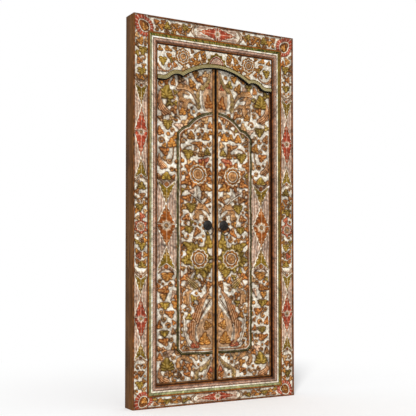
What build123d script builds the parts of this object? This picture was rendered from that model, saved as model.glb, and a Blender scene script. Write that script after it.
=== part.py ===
from build123d import *
import os
from math import atan2, cos, hypot, pi, sin

os.makedirs("parts", exist_ok=True)

# A pair of carved door leaves in a pegged, carved frame.
# X runs across the door, Y from the front to the back and Z up from the floor.
# The origin is in the middle of the sill's underside.

# Frame, outside sizes and widths of its members
frame_width = 1030.0
frame_height = 2100.0
frame_depth = 100.0
jamb_width = 143.5
head_height = 143.0
sill_height = 118.0

# Moulding round the opening: widths measured out from the sight edge, depths from the front
moulding_width = 58.0
slope_width = 10.0
bead_width = 17.0
fillet_width = 9.0
bevel_width = 13.0
sight_depth = 11.0
slope_top_depth = 8.0
bead_depth = 5.5
fillet_depth = 4.0
rim_depth = 0.5
arris_width = 7.0
band_sink = 7.0
band_relief = 6.0

# Rebate behind the lip that stops the leaves
rebate_step = 12.0
lip_depth = 23.5

# Pegged tenons of the head and the sill
tenon_length = 60.0
tenon_thickness = 34.0
tenon_shoulder = 22.0
peg_radius = 5.5
peg_spacing = 34.0
peg_reach = 12.0

# Arch board
arch_front_depth = 10.0
arch_relief = 5.0
arch_end_height = 195.0
arch_shoulder_half = 330.0
arch_cusp_half = 212.0
arch_cusp_rise = 28.0
arch_crown_rise = 96.0
rope_width = 23.0
rope_pitch = 22.0
rope_height = 5.0
tongue_length = 6.0
tongue_thickness = 6.0

# Leaves
leaf_front_depth = 25.0
leaf_thickness = 36.0
leaf_relief = 8.0
centre_gap = 4.0
edge_gap = 2.0
foot_gap = 3.0
meeting_strip = 18.0
heel_strip = 11.0
foot_strip = 8.0
field_hidden_top = 22.0

# Pivot pins
pin_radius = 7.0
pin_in_leaf = 40.0
pin_in_frame = 24.0
pin_clearance = 0.06
pin_end_gap = 0.3
heel_radius = 12.0
heel_front_radius = 10.0

# Battens and nails on the back
batten_thickness = 22.0
batten_height = 70.0
batten_heel_margin = 75.0
batten_meeting_margin = 22.0
batten_end_margin = 190.0
batten_above_pull = 56.5
batten_edge = 5.0
nail_side = 5.0
nail_in_leaf = 18.0
nail_head_side = 13.0
nail_head_height = 4.0
nail_pitch = 210.0
nail_row_pitch = 36.0

# Ring pulls
pull_height = 981.0
pull_from_middle = 52.0
boss_radius = 28.0
boss_height = 14.0
boss_rim = 2.5
boss_seat_margin = 1.0
boss_seat_sides = 12
ring_radius = 27.5
ring_wire = 2.5
staple_wire = 2.0
staple_shank_radius = 3.0
staple_clearance = 0.4
staple_stand_off = 17.4
clench_length = 24.0

# How the carved motifs are cut: tops as shares of their feet, and drops below the full relief
leaf_top_share = 0.62
dart_top_share = 0.7
diamond_top_share = 0.8
curl_drop = 1.0
bow_drop = 2.0
bow_width = 6.0
bow_margin = 4.0
cut_margin = 1.0

# Levels and lines that follow from the sizes above
opening_half = frame_width / 2 - jamb_width
head_sight = frame_height - head_height
sill_sight = sill_height
shoulder_half = opening_half + moulding_width
rebate_half = opening_half + rebate_step
bed_level = sill_sight - rebate_step
soffit_level = head_sight + rebate_step


def depth_y(depth):
    """Place along Y of a depth measured back from the front of the frame."""
    return depth - frame_depth / 2


def front_plane(depth):
    """Upright plane at a depth behind the front, facing the viewer."""
    return Plane(origin=(0, depth_y(depth), 0), x_dir=(1, 0, 0), z_dir=(0, -1, 0))


def save(piece, name):
    """Label one finished piece and write it to its file."""
    piece.label = name
    export_step(piece, f"parts/{name}.step")


# Outlines of the carved motifs, drawn about their middle, pointing along +X

def serrated_leaf(length, width, lobes=2):
    """Pointed leaf whose lobes swell and shrink along its blade."""
    upper = []
    for lobe in range(lobes):
        for step, share in ((0.1, 0.6), (0.75, 1.0)):
            along = (lobe + step) / (lobes + 0.5)
            swell = sin(pi * (0.12 + 0.76 * along) ** 0.9)
            upper.append((along * length - length / 2, share * swell * width / 2))
    lower = [(x, -y) for x, y in reversed(upper)]
    return upper + [(length / 2, 0)] + lower


def flower(radius, petals, notch=0.84):
    """Ring of petals with notches between them."""
    points = []
    for step in range(2 * petals):
        angle = pi * step / petals
        reach = radius * (notch if step % 2 else 1.0)
        points.append((reach * cos(angle), reach * sin(angle)))
    return points


def dart(length, width, teeth=1):
    """Long triangle with stepped sides, widest at its foot."""
    upper = [(-length / 2, width / 2)]
    for tooth in range(teeth):
        along = (tooth + 1) / (teeth + 1)
        half = width / 2 * (1 - along)
        upper.append((along * length - length / 2 - 0.04 * length, half * 0.82))
        upper.append((along * length - length / 2, half * 1.05))
    lower = [(x, -y) for x, y in reversed(upper)]
    return upper + [(length / 2, 0)] + lower


def lozenge(length, width, steps=1):
    """Long diamond with stepped sides."""
    quarter = []
    for step in range(steps):
        along = (step + 1) / (steps + 1)
        quarter.append((length / 2 * (1 - along) + 0.03 * length, width / 2 * along * 0.9))
        quarter.append((length / 2 * (1 - along), width / 2 * along * 1.08))
    top = [(length / 2, 0)] + quarter + [(0, width / 2)]
    left = [(-x, y) for x, y in reversed(quarter)] + [(-length / 2, 0)]
    below = [(x, -y) for x, y in reversed(top[1:] + left[:-1])]
    return top + left + below


def ribbon(path, wide_start, wide_end):
    """Band along a path of points, with its own width at each end."""
    left, right = [], []
    last = len(path) - 1
    for index, (x, y) in enumerate(path):
        before, after = path[max(index - 1, 0)], path[min(index + 1, last)]
        run, rise = after[0] - before[0], after[1] - before[1]
        size = hypot(run, rise)
        half = (wide_start + (wide_end - wide_start) * index / last) / 2
        left.append((x - rise / size * half, y + run / size * half))
        right.append((x + rise / size * half, y - run / size * half))
    return left + list(reversed(right))


def curl_path(radius, turn, steps=4):
    """Spiral that winds in from its outer radius to under a third of it."""
    path = []
    for step in range(steps + 1):
        share = step / steps
        angle = turn * share * pi / 180
        reach = radius * (1 - 0.7 * share)
        path.append((reach * cos(angle), reach * sin(angle)))
    return path


def arc_path(radius, start, end, steps=4):
    """Points along an arc about the middle, angles in degrees."""
    path = []
    for step in range(steps + 1):
        angle = (start + (end - start) * step / steps) * pi / 180
        path.append((radius * cos(angle), radius * sin(angle)))
    return path


def bow_path(start, bend, end, steps=3):
    """Smooth bow from one point to another, pulled towards a third."""
    path = []
    for step in range(steps + 1):
        t = step / steps
        shares = ((1 - t) ** 2, 2 * t * (1 - t), t * t)
        path.append(tuple(sum(share * value for share, value in zip(shares, values))
                          for values in zip(start, bend, end)))
    return path


def placed(points, x, z, angle=0.0, scale=1.0):
    """Turn an outline by an angle in degrees and move it to its place on the board."""
    turn_cos, turn_sin = cos(angle * pi / 180), sin(angle * pi / 180)
    return [
        (x + scale * (px * turn_cos - py * turn_sin), z + scale * (px * turn_sin + py * turn_cos))
        for px, py in points
    ]


def raised(points, plane, height, top_share):
    """Motif that stands on the carved ground and narrows to a smaller top."""
    middle_x = sum(x for x, _ in points) / len(points)
    middle_z = sum(z for _, z in points) / len(points)
    top_points = [
        (middle_x + (x - middle_x) * top_share, middle_z + (z - middle_z) * top_share) for x, z in points
    ]
    with BuildSketch(plane) as foot:
        with BuildLine():
            Polyline(*points, close=True)
        make_face()
    with BuildSketch(plane.offset(height)) as top:
        with BuildLine():
            Polyline(*top_points, close=True)
        make_face()
    return loft(sections=[foot.sketch, top.sketch], ruled=True)


def upright(points, plane, height):
    """Motif with straight sides, for ribbons, rings and curls."""
    with BuildSketch(plane) as outline:
        with BuildLine():
            Polyline(*points, close=True)
        make_face()
    return extrude(outline.sketch, amount=height)


# Frame members: one moulded outline, measured out from the sight edge and back from the front

def member_outline(width):
    """Corners of a frame member's section, as (distance out from the opening, depth)."""
    bead_out = slope_width + bead_width
    fillet_out = bead_out + fillet_width
    bevel_out = fillet_out + bevel_width
    return [
        (rebate_step, frame_depth),
        (rebate_step, lip_depth),
        (0, lip_depth),
        (0, sight_depth),
        (slope_width, slope_top_depth),
        (slope_width, bead_depth),
        (bead_out, bead_depth),
        (bead_out, fillet_depth),
        (fillet_out, fillet_depth),
        (bevel_out, rim_depth),
        (moulding_width, rim_depth),
        (moulding_width, 0),
        (width, 0),
        (width, frame_depth),
    ]


# Carving of the bands: drawn on the middle line of a jamb, then fitted to the band
drawn_jamb_middle = 468.75
drawn_jamb_length = 2086.0
drawn_band_half = 39.25
jamb_curl_widths = (5, 9)
jamb_band_middle = frame_width / 2 - (jamb_width - moulding_width + arris_width) / 2
jamb_band_width = jamb_width - moulding_width - arris_width
jamb_band_length = frame_height - 2 * arris_width

jamb_leaves = [
    (452, 2032, 50, 44, 45), (474, 1955, 48, 38, 120), (462, 1905, 52, 50, -90),
    (465, 1795, 46, 52, -90),
    (465, 1180, 48, 50, 90), (474, 1065, 48, 46, -90), (462, 1022, 40, 34, 60), (465, 862, 50, 46, -90),
    (478, 812, 42, 34, 120), (462, 762, 46, 50, 90), (474, 130, 48, 46, -90), (452, 66, 50, 44, -45),
]
jamb_curls = [
    (458, 1850, 20, 20, 290), (480, 1118, 18, 200, -290), (480, 922, 18, 20, 290),
    (478, 205, 19, 200, -290),
]
jamb_bows = [(1764, 1736), (1202, 1230), (738, 710), (240, 268)]
jamb_darts = [(1672, 112, 66, -90), (1270, 100, 66, 90), (655, 100, 66, -90), (302, 84, 66, 90)]
jamb_lozenges = [(1470, 256, 76), (478, 246, 76)]
jamb_flower = (469, 965, 34)


def on_jamb(points):
    """Fit points drawn on the jamb to the band as it is sized."""
    wide, long = jamb_band_width / (2 * drawn_band_half), jamb_band_length / drawn_jamb_length
    return [
        (jamb_band_middle + (x - drawn_jamb_middle) * wide, arris_width + (z - arris_width) * long)
        for x, z in points
    ]


band_plane = front_plane(band_sink)
band_carving = []
for x, z, length, width, angle in jamb_leaves:
    outline = on_jamb(placed(serrated_leaf(length, width), x, z, angle))
    band_carving.append(raised(outline, band_plane, band_relief, leaf_top_share))
for x, z, radius, angle, turn in jamb_curls:
    outline = on_jamb(placed(ribbon(curl_path(radius, turn), *jamb_curl_widths), x, z, angle))
    band_carving.append(upright(outline, band_plane, band_relief - curl_drop))
for z_ends, z_bend in jamb_bows:
    reach = drawn_band_half - bow_margin
    ends = [(drawn_jamb_middle + side * reach, z_ends) for side in (-1, 1)]
    path = bow_path(ends[0], (drawn_jamb_middle, 2 * z_bend - z_ends), ends[1])
    outline = on_jamb(ribbon(path, bow_width, bow_width))
    band_carving.append(upright(outline, band_plane, band_relief - bow_drop))
for z, length, width, angle in jamb_darts:
    outline = on_jamb(placed(dart(length, width), drawn_jamb_middle, z, angle))
    band_carving.append(raised(outline, band_plane, band_relief, dart_top_share))
for z, length, width in jamb_lozenges:
    outline = on_jamb(placed(lozenge(length, width), drawn_jamb_middle, z, 90))
    band_carving.append(raised(outline, band_plane, band_relief, diamond_top_share))
x, z, radius = jamb_flower
outline = on_jamb(placed(flower(radius, 6), x, z))
band_carving.append(raised(outline, band_plane, band_relief, dart_top_share))

mitre_to_head = [
    (opening_half, head_sight), (shoulder_half, head_sight + moulding_width),
    (shoulder_half, frame_height), (opening_half, frame_height),
]
mitre_to_sill = [
    (opening_half, sill_sight), (shoulder_half, sill_sight - moulding_width),
    (shoulder_half, 0), (opening_half, 0),
]
tenon_middle_x = shoulder_half + tenon_length / 2
tenon_y = (depth_y(lip_depth) + frame_depth / 2) / 2
head_tenon = (head_sight + frame_height) / 2
head_tenon_height = head_height - 2 * tenon_shoulder
sill_tenon = sill_sight / 2
sill_tenon_height = sill_height - 2 * tenon_shoulder
peg_length = frame_depth / 2 - tenon_y + tenon_thickness / 2 + peg_reach
peg_middle_y = frame_depth / 2 - peg_length / 2
back_plane = Plane(origin=(0, frame_depth / 2, 0), x_dir=(1, 0, 0), z_dir=(0, -1, 0))
arch_foot = head_sight - arch_end_height
tongue_depth = (arch_front_depth + arch_relief + lip_depth) / 2
tongue_y = depth_y(tongue_depth)
tongue_foot = arch_foot + tongue_length

with BuildPart() as jamb_right:
    with BuildSketch(Plane.XY):
        with BuildLine():
            section = member_outline(jamb_width)
            Polyline(*[(opening_half + out, depth_y(depth)) for out, depth in section], close=True)
        make_face()
    extrude(amount=frame_height)
    for corner in (mitre_to_head, mitre_to_sill):
        with BuildSketch(front_plane(-cut_margin)):
            with BuildLine():
                Polyline(*corner, close=True)
            make_face()
        extrude(amount=-frame_depth - 2 * cut_margin, mode=Mode.SUBTRACT)
    with BuildSketch(front_plane(0)):
        with Locations((shoulder_half, arris_width)):
            Rectangle(jamb_band_width, jamb_band_length, align=(Align.MIN, Align.MIN))
    extrude(amount=-band_sink, mode=Mode.SUBTRACT)
    for middle, height in ((head_tenon, head_tenon_height), (sill_tenon, sill_tenon_height)):
        with Locations((tenon_middle_x, tenon_y, middle)):
            Box(tenon_length, tenon_thickness, height, mode=Mode.SUBTRACT)
        with BuildSketch(back_plane):
            with Locations((tenon_middle_x, middle)):
                with GridLocations(0, peg_spacing, 1, 2):
                    RegularPolygon(peg_radius, 8)
        extrude(amount=peg_length, mode=Mode.SUBTRACT)
    with Locations((opening_half, tongue_y, tongue_foot)):
        Box(tongue_length, tongue_thickness, head_sight + tongue_length - tongue_foot,
            align=(Align.MIN, Align.CENTER, Align.MIN), mode=Mode.SUBTRACT)
    add(band_carving)
save(jamb_right.part, "jamb_right")

with BuildPart() as jamb_left:
    mirror(jamb_right.part, about=Plane.YZ)
save(jamb_left.part, "jamb_left")

# Head and sill: the same outline laid level, its moulding mitred into the jambs
drawn_head_half = 429.5
drawn_head_band = 2 * drawn_band_half
head_lozenge = (216, 60)
head_leaves = [
    (178, 0, 44, 36, 150), (222, 8, 44, 38, 60), (312, 2, 52, 48, 90), (352, -4, 44, 36, 30),
    (400, 6, 46, 34, 160),
]
head_curls = [(268, 2, 20, 20, 290)]
head_arcs = [(118, 150)]
curl_widths = (5, 8)


def cross_carving(band_foot, band_height, plane):
    """Carving of a level band, the same to the left and the right of its lozenge."""
    wide, high = shoulder_half / drawn_head_half, band_height / drawn_head_band
    middle = band_foot + band_height / 2

    def fitted(points, side):
        return [(side * x * wide, middle + z * high) for x, z in points]

    carving = [raised(fitted(lozenge(*head_lozenge), 1), plane, band_relief, diamond_top_share)]
    for side in (-1, 1):
        for x, z, length, width, angle in head_leaves:
            outline = placed(serrated_leaf(length, width), x, z, angle)
            carving.append(raised(fitted(outline, side), plane, band_relief, leaf_top_share))
        for x, z, radius, angle, turn in head_curls:
            outline = placed(ribbon(curl_path(radius, turn), *curl_widths), x, z, angle)
            carving.append(upright(fitted(outline, side), plane, band_relief - curl_drop))
        for start, bend in head_arcs:
            reach = drawn_band_half - bow_margin
            path = bow_path((start, -reach), (bend, 0), (start, reach))
            outline = ribbon(path, bow_width, bow_width)
            carving.append(upright(fitted(outline, side), plane, band_relief - bow_drop))
    return carving


def cross_member(sight, outward, height, tenon_middle, tenon_height, carving):
    """Head or sill, cut from one length, tenoned at both ends and bored for the pivot pins."""
    outer = sight + outward * moulding_width
    band_foot, band_height = band_place(sight, outward, height)
    rebate = sight + outward * rebate_step
    with BuildPart() as member:
        with BuildSketch(Plane.YZ):
            with BuildLine():
                section = member_outline(height)
                Polyline(*[(depth_y(depth), sight + outward * out) for out, depth in section], close=True)
            make_face()
        extrude(amount=shoulder_half, both=True)
        with BuildSketch(front_plane(-cut_margin)):
            for side in (-1, 1):
                with BuildLine():
                    past = shoulder_half + cut_margin
                    Polyline((side * opening_half, sight), (side * past, sight),
                             (side * past, outer + outward * cut_margin), close=True)
                make_face()
        extrude(amount=-frame_depth - 2 * cut_margin, mode=Mode.SUBTRACT)
        with BuildSketch(front_plane(0)):
            with Locations((0, band_foot)):
                Rectangle(2 * shoulder_half, band_height, align=(Align.CENTER, Align.MIN))
        extrude(amount=-band_sink, mode=Mode.SUBTRACT)
        with Locations((-tenon_middle_x, tenon_y, tenon_middle), (tenon_middle_x, tenon_y, tenon_middle)):
            Box(tenon_length, tenon_thickness, tenon_height)
        with BuildSketch(back_plane):
            with Locations((-tenon_middle_x, tenon_middle), (tenon_middle_x, tenon_middle)):
                with GridLocations(0, peg_spacing, 1, 2):
                    RegularPolygon(peg_radius, 8)
        extrude(amount=peg_length, mode=Mode.SUBTRACT)
        socket_middle = rebate + outward * socket_depth / 2
        with Locations((-pivot_x, pivot_y, socket_middle), (pivot_x, pivot_y, socket_middle)):
            Cylinder(socket_radius, socket_depth, mode=Mode.SUBTRACT)
        add(carving)
    return member.part


def band_place(sight, outward, height):
    """Foot and height of the carved band on a level member."""
    band_height = height - moulding_width - arris_width
    foot = sight + moulding_width if outward > 0 else sight - height + arris_width
    return foot, band_height


pivot_x = rebate_half - edge_gap - heel_radius
leaf_back_depth = leaf_front_depth + leaf_thickness
pivot_y = depth_y(leaf_back_depth - heel_radius)
leaf_foot = bed_level + foot_gap
leaf_top = soffit_level - foot_gap
socket_radius = pin_radius + pin_clearance
socket_depth = pin_in_frame - foot_gap + pin_end_gap

head_carving = cross_carving(*band_place(head_sight, 1, head_height), band_plane)
head_blank = cross_member(head_sight, 1, head_height, head_tenon, head_tenon_height, head_carving)
with BuildPart() as frame_head:
    add(head_blank)
    with Locations((0, tongue_y, head_sight)):
        Box(2 * (opening_half + tongue_length), tongue_thickness, tongue_length,
            align=(Align.CENTER, Align.CENTER, Align.MIN), mode=Mode.SUBTRACT)
save(frame_head.part, "frame_head")

sill_carving = cross_carving(*band_place(sill_sight, -1, sill_height), band_plane)
sill_blank = cross_member(sill_sight, -1, sill_height, sill_tenon, sill_tenon_height, sill_carving)
with BuildPart() as frame_sill:
    add(sill_blank)
save(frame_sill.part, "frame_sill")

for corner, middle in (("head", head_tenon), ("sill", sill_tenon)):
    for side_name, side in (("left", -1), ("right", 1)):
        with BuildPart() as pegs:
            with BuildSketch(back_plane):
                with Locations((side * tenon_middle_x, middle)):
                    with GridLocations(0, peg_spacing, 1, 2):
                        RegularPolygon(peg_radius, 8)
            extrude(amount=peg_length)
        save(pegs.part, f"pegs_{corner}_{side_name}")

# Arch board: cusped lower edge with a rope moulding, tongued into the jambs and the head
arch_hump_rise = 37.0
arch_hump_half = 247.0
arch_hump_end = 283.0
arch_hump_end_rise = 24.0
arch_sweep_rise = 7.0
arch_sweep_share = 0.45


def arch_points():
    """Points that the lower edge passes through on the right half, from the cusp out."""
    sweep_x = arch_hump_end + arch_sweep_share * (arch_shoulder_half - arch_hump_end)
    return [
        (arch_cusp_half, arch_foot + arch_cusp_rise), (arch_hump_half, arch_foot + arch_hump_rise),
        (arch_hump_end, arch_foot + arch_hump_end_rise), (sweep_x, arch_foot + arch_sweep_rise),
        (arch_shoulder_half, arch_foot),
    ]


def lower_edge():
    """Draw the lower edge of the arch board from its left end to its right."""
    for side in (-1, 1):
        cusp, hump, hump_end, sweep_point, shoulder = [(side * x, z) for x, z in arch_points()]
        ThreePointArc(cusp, hump, hump_end)
        ThreePointArc(hump_end, sweep_point, shoulder)
        Line(shoulder, (side * opening_half, arch_foot))
    ThreePointArc((-cusp[0], cusp[1]), (0, arch_foot + arch_crown_rise), cusp)


arch_leaves = [
    (335, 1868, 58, 54, -90), (298, 1928, 56, 38, 200), (344, 1922, 46, 34, 200),
    (268, 1872, 50, 40, 60),
    (150, 1870, 50, 36, 150), (128, 1920, 56, 46, 120), (78, 1932, 46, 34, 150),
]
arch_curls = [(300, 1838, 20, 60, 300)]
arch_flower_middle = (212, 1903)
arch_flower_tiers = [(flower(56, 6, 0.7), 3.0, 0.75), (flower(36, 4, 0.96), 5.0, 0.7)]
sun_middle_z = 1899.0
sun_tooth_radii = (58, 48)
sun_teeth = 4
sun_border_height = 3.5
sun_disc_radius = 34
drawn_arch_foot = 1762.0
drawn_arch_height = 195.0
drawn_arch_half = 371.5


def on_arch(points, side):
    """Fit points drawn on the arch board's right half to the board as it is sized."""
    high = arch_end_height / drawn_arch_height
    wide = opening_half / drawn_arch_half
    return [(side * x * wide, arch_foot + (z - drawn_arch_foot) * high) for x, z in points]


arch_plane = front_plane(arch_front_depth + arch_relief)
arch_carving = []
for side in (-1, 1):
    for x, z, length, width, angle in arch_leaves:
        outline = placed(serrated_leaf(length, width), x, z, angle)
        arch_carving.append(raised(on_arch(outline, side), arch_plane, arch_relief, leaf_top_share))
    for x, z, radius, angle, turn in arch_curls:
        outline = placed(ribbon(curl_path(radius, turn), *curl_widths), x, z, angle)
        arch_carving.append(upright(on_arch(outline, side), arch_plane, arch_relief - curl_drop))
    for outline, height, share in arch_flower_tiers:
        outline = placed(outline, *arch_flower_middle)
        arch_carving.append(raised(on_arch(outline, side), arch_plane, height, share))
sun = []
for step in range(2 * sun_teeth + 1):
    radius, angle = sun_tooth_radii[step % 2], pi * step / (2 * sun_teeth)
    sun.append((radius * cos(angle), sun_middle_z + radius * sin(angle)))
arch_carving.append(raised(on_arch(sun, 1), arch_plane, sun_border_height, diamond_top_share))
disc = placed(arc_path(sun_disc_radius, 0, 180), 0, sun_middle_z)
arch_carving.append(raised(on_arch(disc, 1), arch_plane, arch_relief, diamond_top_share))

with BuildLine(Plane.XY) as edge_line:
    lower_edge()
edge_wire = Wire(edge_line.edges())
rope_count = round(edge_wire.length / rope_pitch)
rib_end_margin = 0.8 * rope_pitch
rib_corners = [(-0.75, 0.45), (-0.2, 0.47), (0.75, -0.42), (0.2, -0.47)]
rib_top_share = 0.75
rope_ribs = []
for index in range(rope_count):
    place = edge_wire.position_at((index + 0.5) / rope_count)
    along = edge_wire.tangent_at((index + 0.5) / rope_count)
    if place.X < 0 or place.X + rib_end_margin > opening_half:
        continue
    if along.X < 0:
        along = along * -1
    middle_x, middle_z = place.X - along.Y * rope_width / 2, place.Y + along.X * rope_width / 2
    turn = atan2(along.Y, along.X) * 180 / pi
    rib = [(along * rope_pitch, across * rope_width) for along, across in rib_corners]
    for side in (-1, 1):
        rib_points = [(side * x, z) for x, z in placed(rib, middle_x, middle_z, turn)]
        rope_ribs.append(raised(rib_points, arch_plane, rope_height, rib_top_share))

with BuildPart() as arch_board:
    with BuildSketch(front_plane(lip_depth)):
        with BuildLine():
            lower_edge()
            Polyline((opening_half, arch_foot), (opening_half, head_sight),
                     (-opening_half, head_sight), (-opening_half, arch_foot))
        make_face()
    extrude(amount=lip_depth - arch_front_depth - arch_relief)
    with BuildSketch(front_plane(tongue_depth + tongue_thickness / 2)):
        with Locations((0, tongue_foot)):
            Rectangle(2 * (opening_half + tongue_length), head_sight + tongue_length - tongue_foot,
                      align=(Align.CENTER, Align.MIN))
        with BuildLine():
            lower_edge()
            Polyline((opening_half, arch_foot), (opening_half, arch_foot - cut_margin),
                     (-opening_half, arch_foot - cut_margin), (-opening_half, arch_foot))
        make_face(mode=Mode.SUBTRACT)
    extrude(amount=tongue_thickness)
    add(arch_carving + rope_ribs)
save(arch_board.part, "arch_board")

# Leaves: carved boards with a rounded heel that turns on two pins

leaf_inner = centre_gap / 2
leaf_outer = rebate_half - edge_gap
field_inner = leaf_inner + meeting_strip
field_outer = opening_half - heel_strip
field_foot = sill_sight + foot_strip
field_top = arch_foot + arch_crown_rise + field_hidden_top
ground_plane = front_plane(leaf_front_depth + leaf_relief)
drawn_inner = 20.0
drawn_outer = 360.5
drawn_foot = 126.0
drawn_top = 1880.0

# Arched frame carved on each leaf: a crown arc, a shoulder arc and a straight stile
crown_radius = 212.0
crown_middle_z = 1402.0
shoulder_radius = 108.0
shoulder_middle = (148.0, 1422.0)
stile_x = 241.0
stile_foot_z = 300.0
sill_line_z = 272.0
frame_ribs = [(0, 11, 6), (19, 8, 6)]
crown_steps = 5
shoulder_steps = 2
leaf_curl_widths = (5, 10)

leaf_leaves = [
    (125, 1818, 48, 38, -90, 1), (152, 1768, 60, 42, 60, 2), (264, 1762, 56, 32, 100, 1),
    (303, 1700, 94, 84, 90, 2),
    (210, 1602, 46, 42, 90, 1), (336, 1622, 84, 62, -60, 2), (298, 1530, 62, 58, -90, 2),
    (228, 1524, 62, 34, 20, 1),
    (40, 1540, 56, 42, 90, 1), (60, 1478, 52, 48, 90, 2), (152, 1476, 52, 46, 90, 2),
    (112, 1430, 78, 34, 10, 1),
    (172, 1372, 66, 60, -90, 2), (52, 1392, 52, 42, 90, 1), (92, 1385, 58, 34, 90, 1),
    (76, 1338, 84, 46, 150, 2),
    (270, 1430, 60, 50, 80, 1), (318, 1385, 66, 42, 20, 2), (326, 1312, 62, 52, -80, 1),
    (60, 1190, 80, 48, 200, 2),
    (188, 1212, 74, 38, -10, 2), (178, 1130, 68, 36, 0, 1), (152, 1078, 64, 62, -90, 2),
    (182, 1020, 58, 36, -20, 1),
    (305, 1242, 54, 60, 90, 2), (118, 940, 64, 36, -50, 1), (165, 958, 52, 58, -90, 2),
    (48, 890, 104, 50, 90, 2),
    (168, 860, 96, 56, 35, 2), (190, 775, 60, 56, -20, 2), (62, 722, 64, 66, -90, 2),
    (192, 690, 60, 38, -20, 1),
    (138, 655, 78, 60, 200, 2), (40, 632, 84, 32, -70, 1), (172, 576, 76, 62, -60, 2),
    (98, 512, 76, 52, -30, 2),
    (300, 700, 58, 74, -90, 2), (322, 622, 80, 40, -10, 1), (313, 545, 48, 60, -90, 2),
    (287, 500, 64, 38, 20, 1),
    (134, 445, 56, 34, 100, 1), (153, 390, 74, 58, -60, 2), (42, 392, 68, 44, 90, 1),
    (80, 362, 60, 46, -90, 1),
    (125, 318, 46, 56, 90, 1), (315, 393, 44, 56, -90, 1), (320, 350, 72, 42, 10, 1),
    (277, 287, 52, 36, 160, 1),
    (342, 265, 48, 36, 90, 1), (300, 222, 84, 80, 90, 2), (314, 156, 70, 58, -60, 1),
]
leaf_curls = [
    (244, 1560, 23, 180, -290), (200, 1442, 22, 170, -300), (335, 1437, 22, 180, -330),
    (130, 1022, 16, 200, -290),
    (180, 918, 24, 20, -220), (100, 600, 20, 130, -230), (216, 200, 21, 90, -290),
    (256, 142, 22, 170, -290),
]
leaf_bows = [
    ((28, 1050), (80, 1112), (150, 1148), 5, 7), ((125, 738), (162, 700), (190, 640), 8, 6),
    ((125, 1674), (150, 1752), (234, 1736), 10, 24), ((165, 1700), (248, 1732), (206, 1662), 8, 26),
    ((128, 1645), (190, 1692), (196, 1622), 8, 24), ((38, 1036), (70, 1110), (116, 1040), 10, 30),
    ((34, 1842), (42, 1762), (98, 1746), 16, 22), ((98, 1746), (126, 1700), (108, 1628), 22, 24),
    ((26, 250), (50, 200), (104, 186), 14, 22), ((125, 206), (165, 260), (230, 250), 8, 22),
    ((24, 566), (130, 470), (108, 304), 6, 7), ((262, 1228), (305, 1190), (350, 1228), 6, 6),
    ((258, 716), (303, 764), (350, 716), 6, 6),
]
leaf_darts = [(305, 1130, 78, 58, -90), (306, 800, 106, 82, 90)]
leaf_lozenge = (306, 976, 228, 94)
leaf_flowers = [(112, 1262), (103, 795)]
flower_tiers = [(flower(56, 9), 6.0, 0.8), (flower(32, 4, 0.98), 8.0, 0.75)]


def on_leaf(points):
    """Fit points drawn on a leaf's field to the field as it is sized."""
    wide = (field_outer - field_inner) / (drawn_outer - drawn_inner)
    high = (field_top - field_foot) / (drawn_top - drawn_foot)
    return [(field_inner + (x - drawn_inner) * wide, field_foot + (z - drawn_foot) * high)
            for x, z in points]


def arched_path(inset):
    """Line of the arched frame, moved in from its outer rib."""
    crown, shoulder = crown_radius - inset, shoulder_radius - inset
    run, rise = shoulder_middle[0], shoulder_middle[1] - crown_middle_z
    apart = hypot(run, rise)
    reach = (crown ** 2 + apart ** 2 - shoulder ** 2) / (2 * apart)
    height = (crown ** 2 - reach ** 2) ** 0.5
    cusp = ((run * reach - rise * height) / apart, crown_middle_z + (rise * reach + run * height) / apart)
    stile = stile_x - inset
    path = []
    for step in range(crown_steps + 1):
        x = drawn_inner + (cusp[0] - drawn_inner) * step / crown_steps
        path.append((x, crown_middle_z + (crown ** 2 - x ** 2) ** 0.5))
    for step in range(1, shoulder_steps + 1):
        x = cusp[0] + (stile - cusp[0]) * step / shoulder_steps
        path.append((x, shoulder_middle[1] + (shoulder ** 2 - (x - shoulder_middle[0]) ** 2) ** 0.5))
    path.append((stile, stile_foot_z + inset / 3))
    path.append((stile - (stile_foot_z - sill_line_z), sill_line_z + inset))
    path.append((drawn_inner, sill_line_z + inset))
    return path


leaf_carving = []
for inset, width, height in frame_ribs:
    leaf_carving.append(upright(on_leaf(ribbon(arched_path(inset), width, width)), ground_plane, height))
for x, z, length, width, angle, lobes in leaf_leaves:
    outline = on_leaf(placed(serrated_leaf(length, width, lobes), x, z, angle))
    leaf_carving.append(raised(outline, ground_plane, leaf_relief, leaf_top_share))
for x, z, radius, angle, turn in leaf_curls:
    outline = on_leaf(placed(ribbon(curl_path(radius, turn), *leaf_curl_widths), x, z, angle))
    leaf_carving.append(upright(outline, ground_plane, leaf_relief - curl_drop))
for start, bend, end, wide_start, wide_end in leaf_bows:
    outline = on_leaf(ribbon(bow_path(start, bend, end), wide_start, wide_end))
    leaf_carving.append(upright(outline, ground_plane, leaf_relief - bow_drop))
for x, z, length, width, angle in leaf_darts:
    outline = on_leaf(placed(dart(length, width), x, z, angle))
    leaf_carving.append(raised(outline, ground_plane, leaf_relief, dart_top_share))
x, z, length, width = leaf_lozenge
outline = on_leaf(placed(lozenge(length, width), x, z, 90))
leaf_carving.append(raised(outline, ground_plane, leaf_relief - curl_drop, diamond_top_share))
for x, z in leaf_flowers:
    for outline, height, share in flower_tiers:
        leaf_carving.append(raised(on_leaf(placed(outline, x, z)), ground_plane, height, share))

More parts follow.
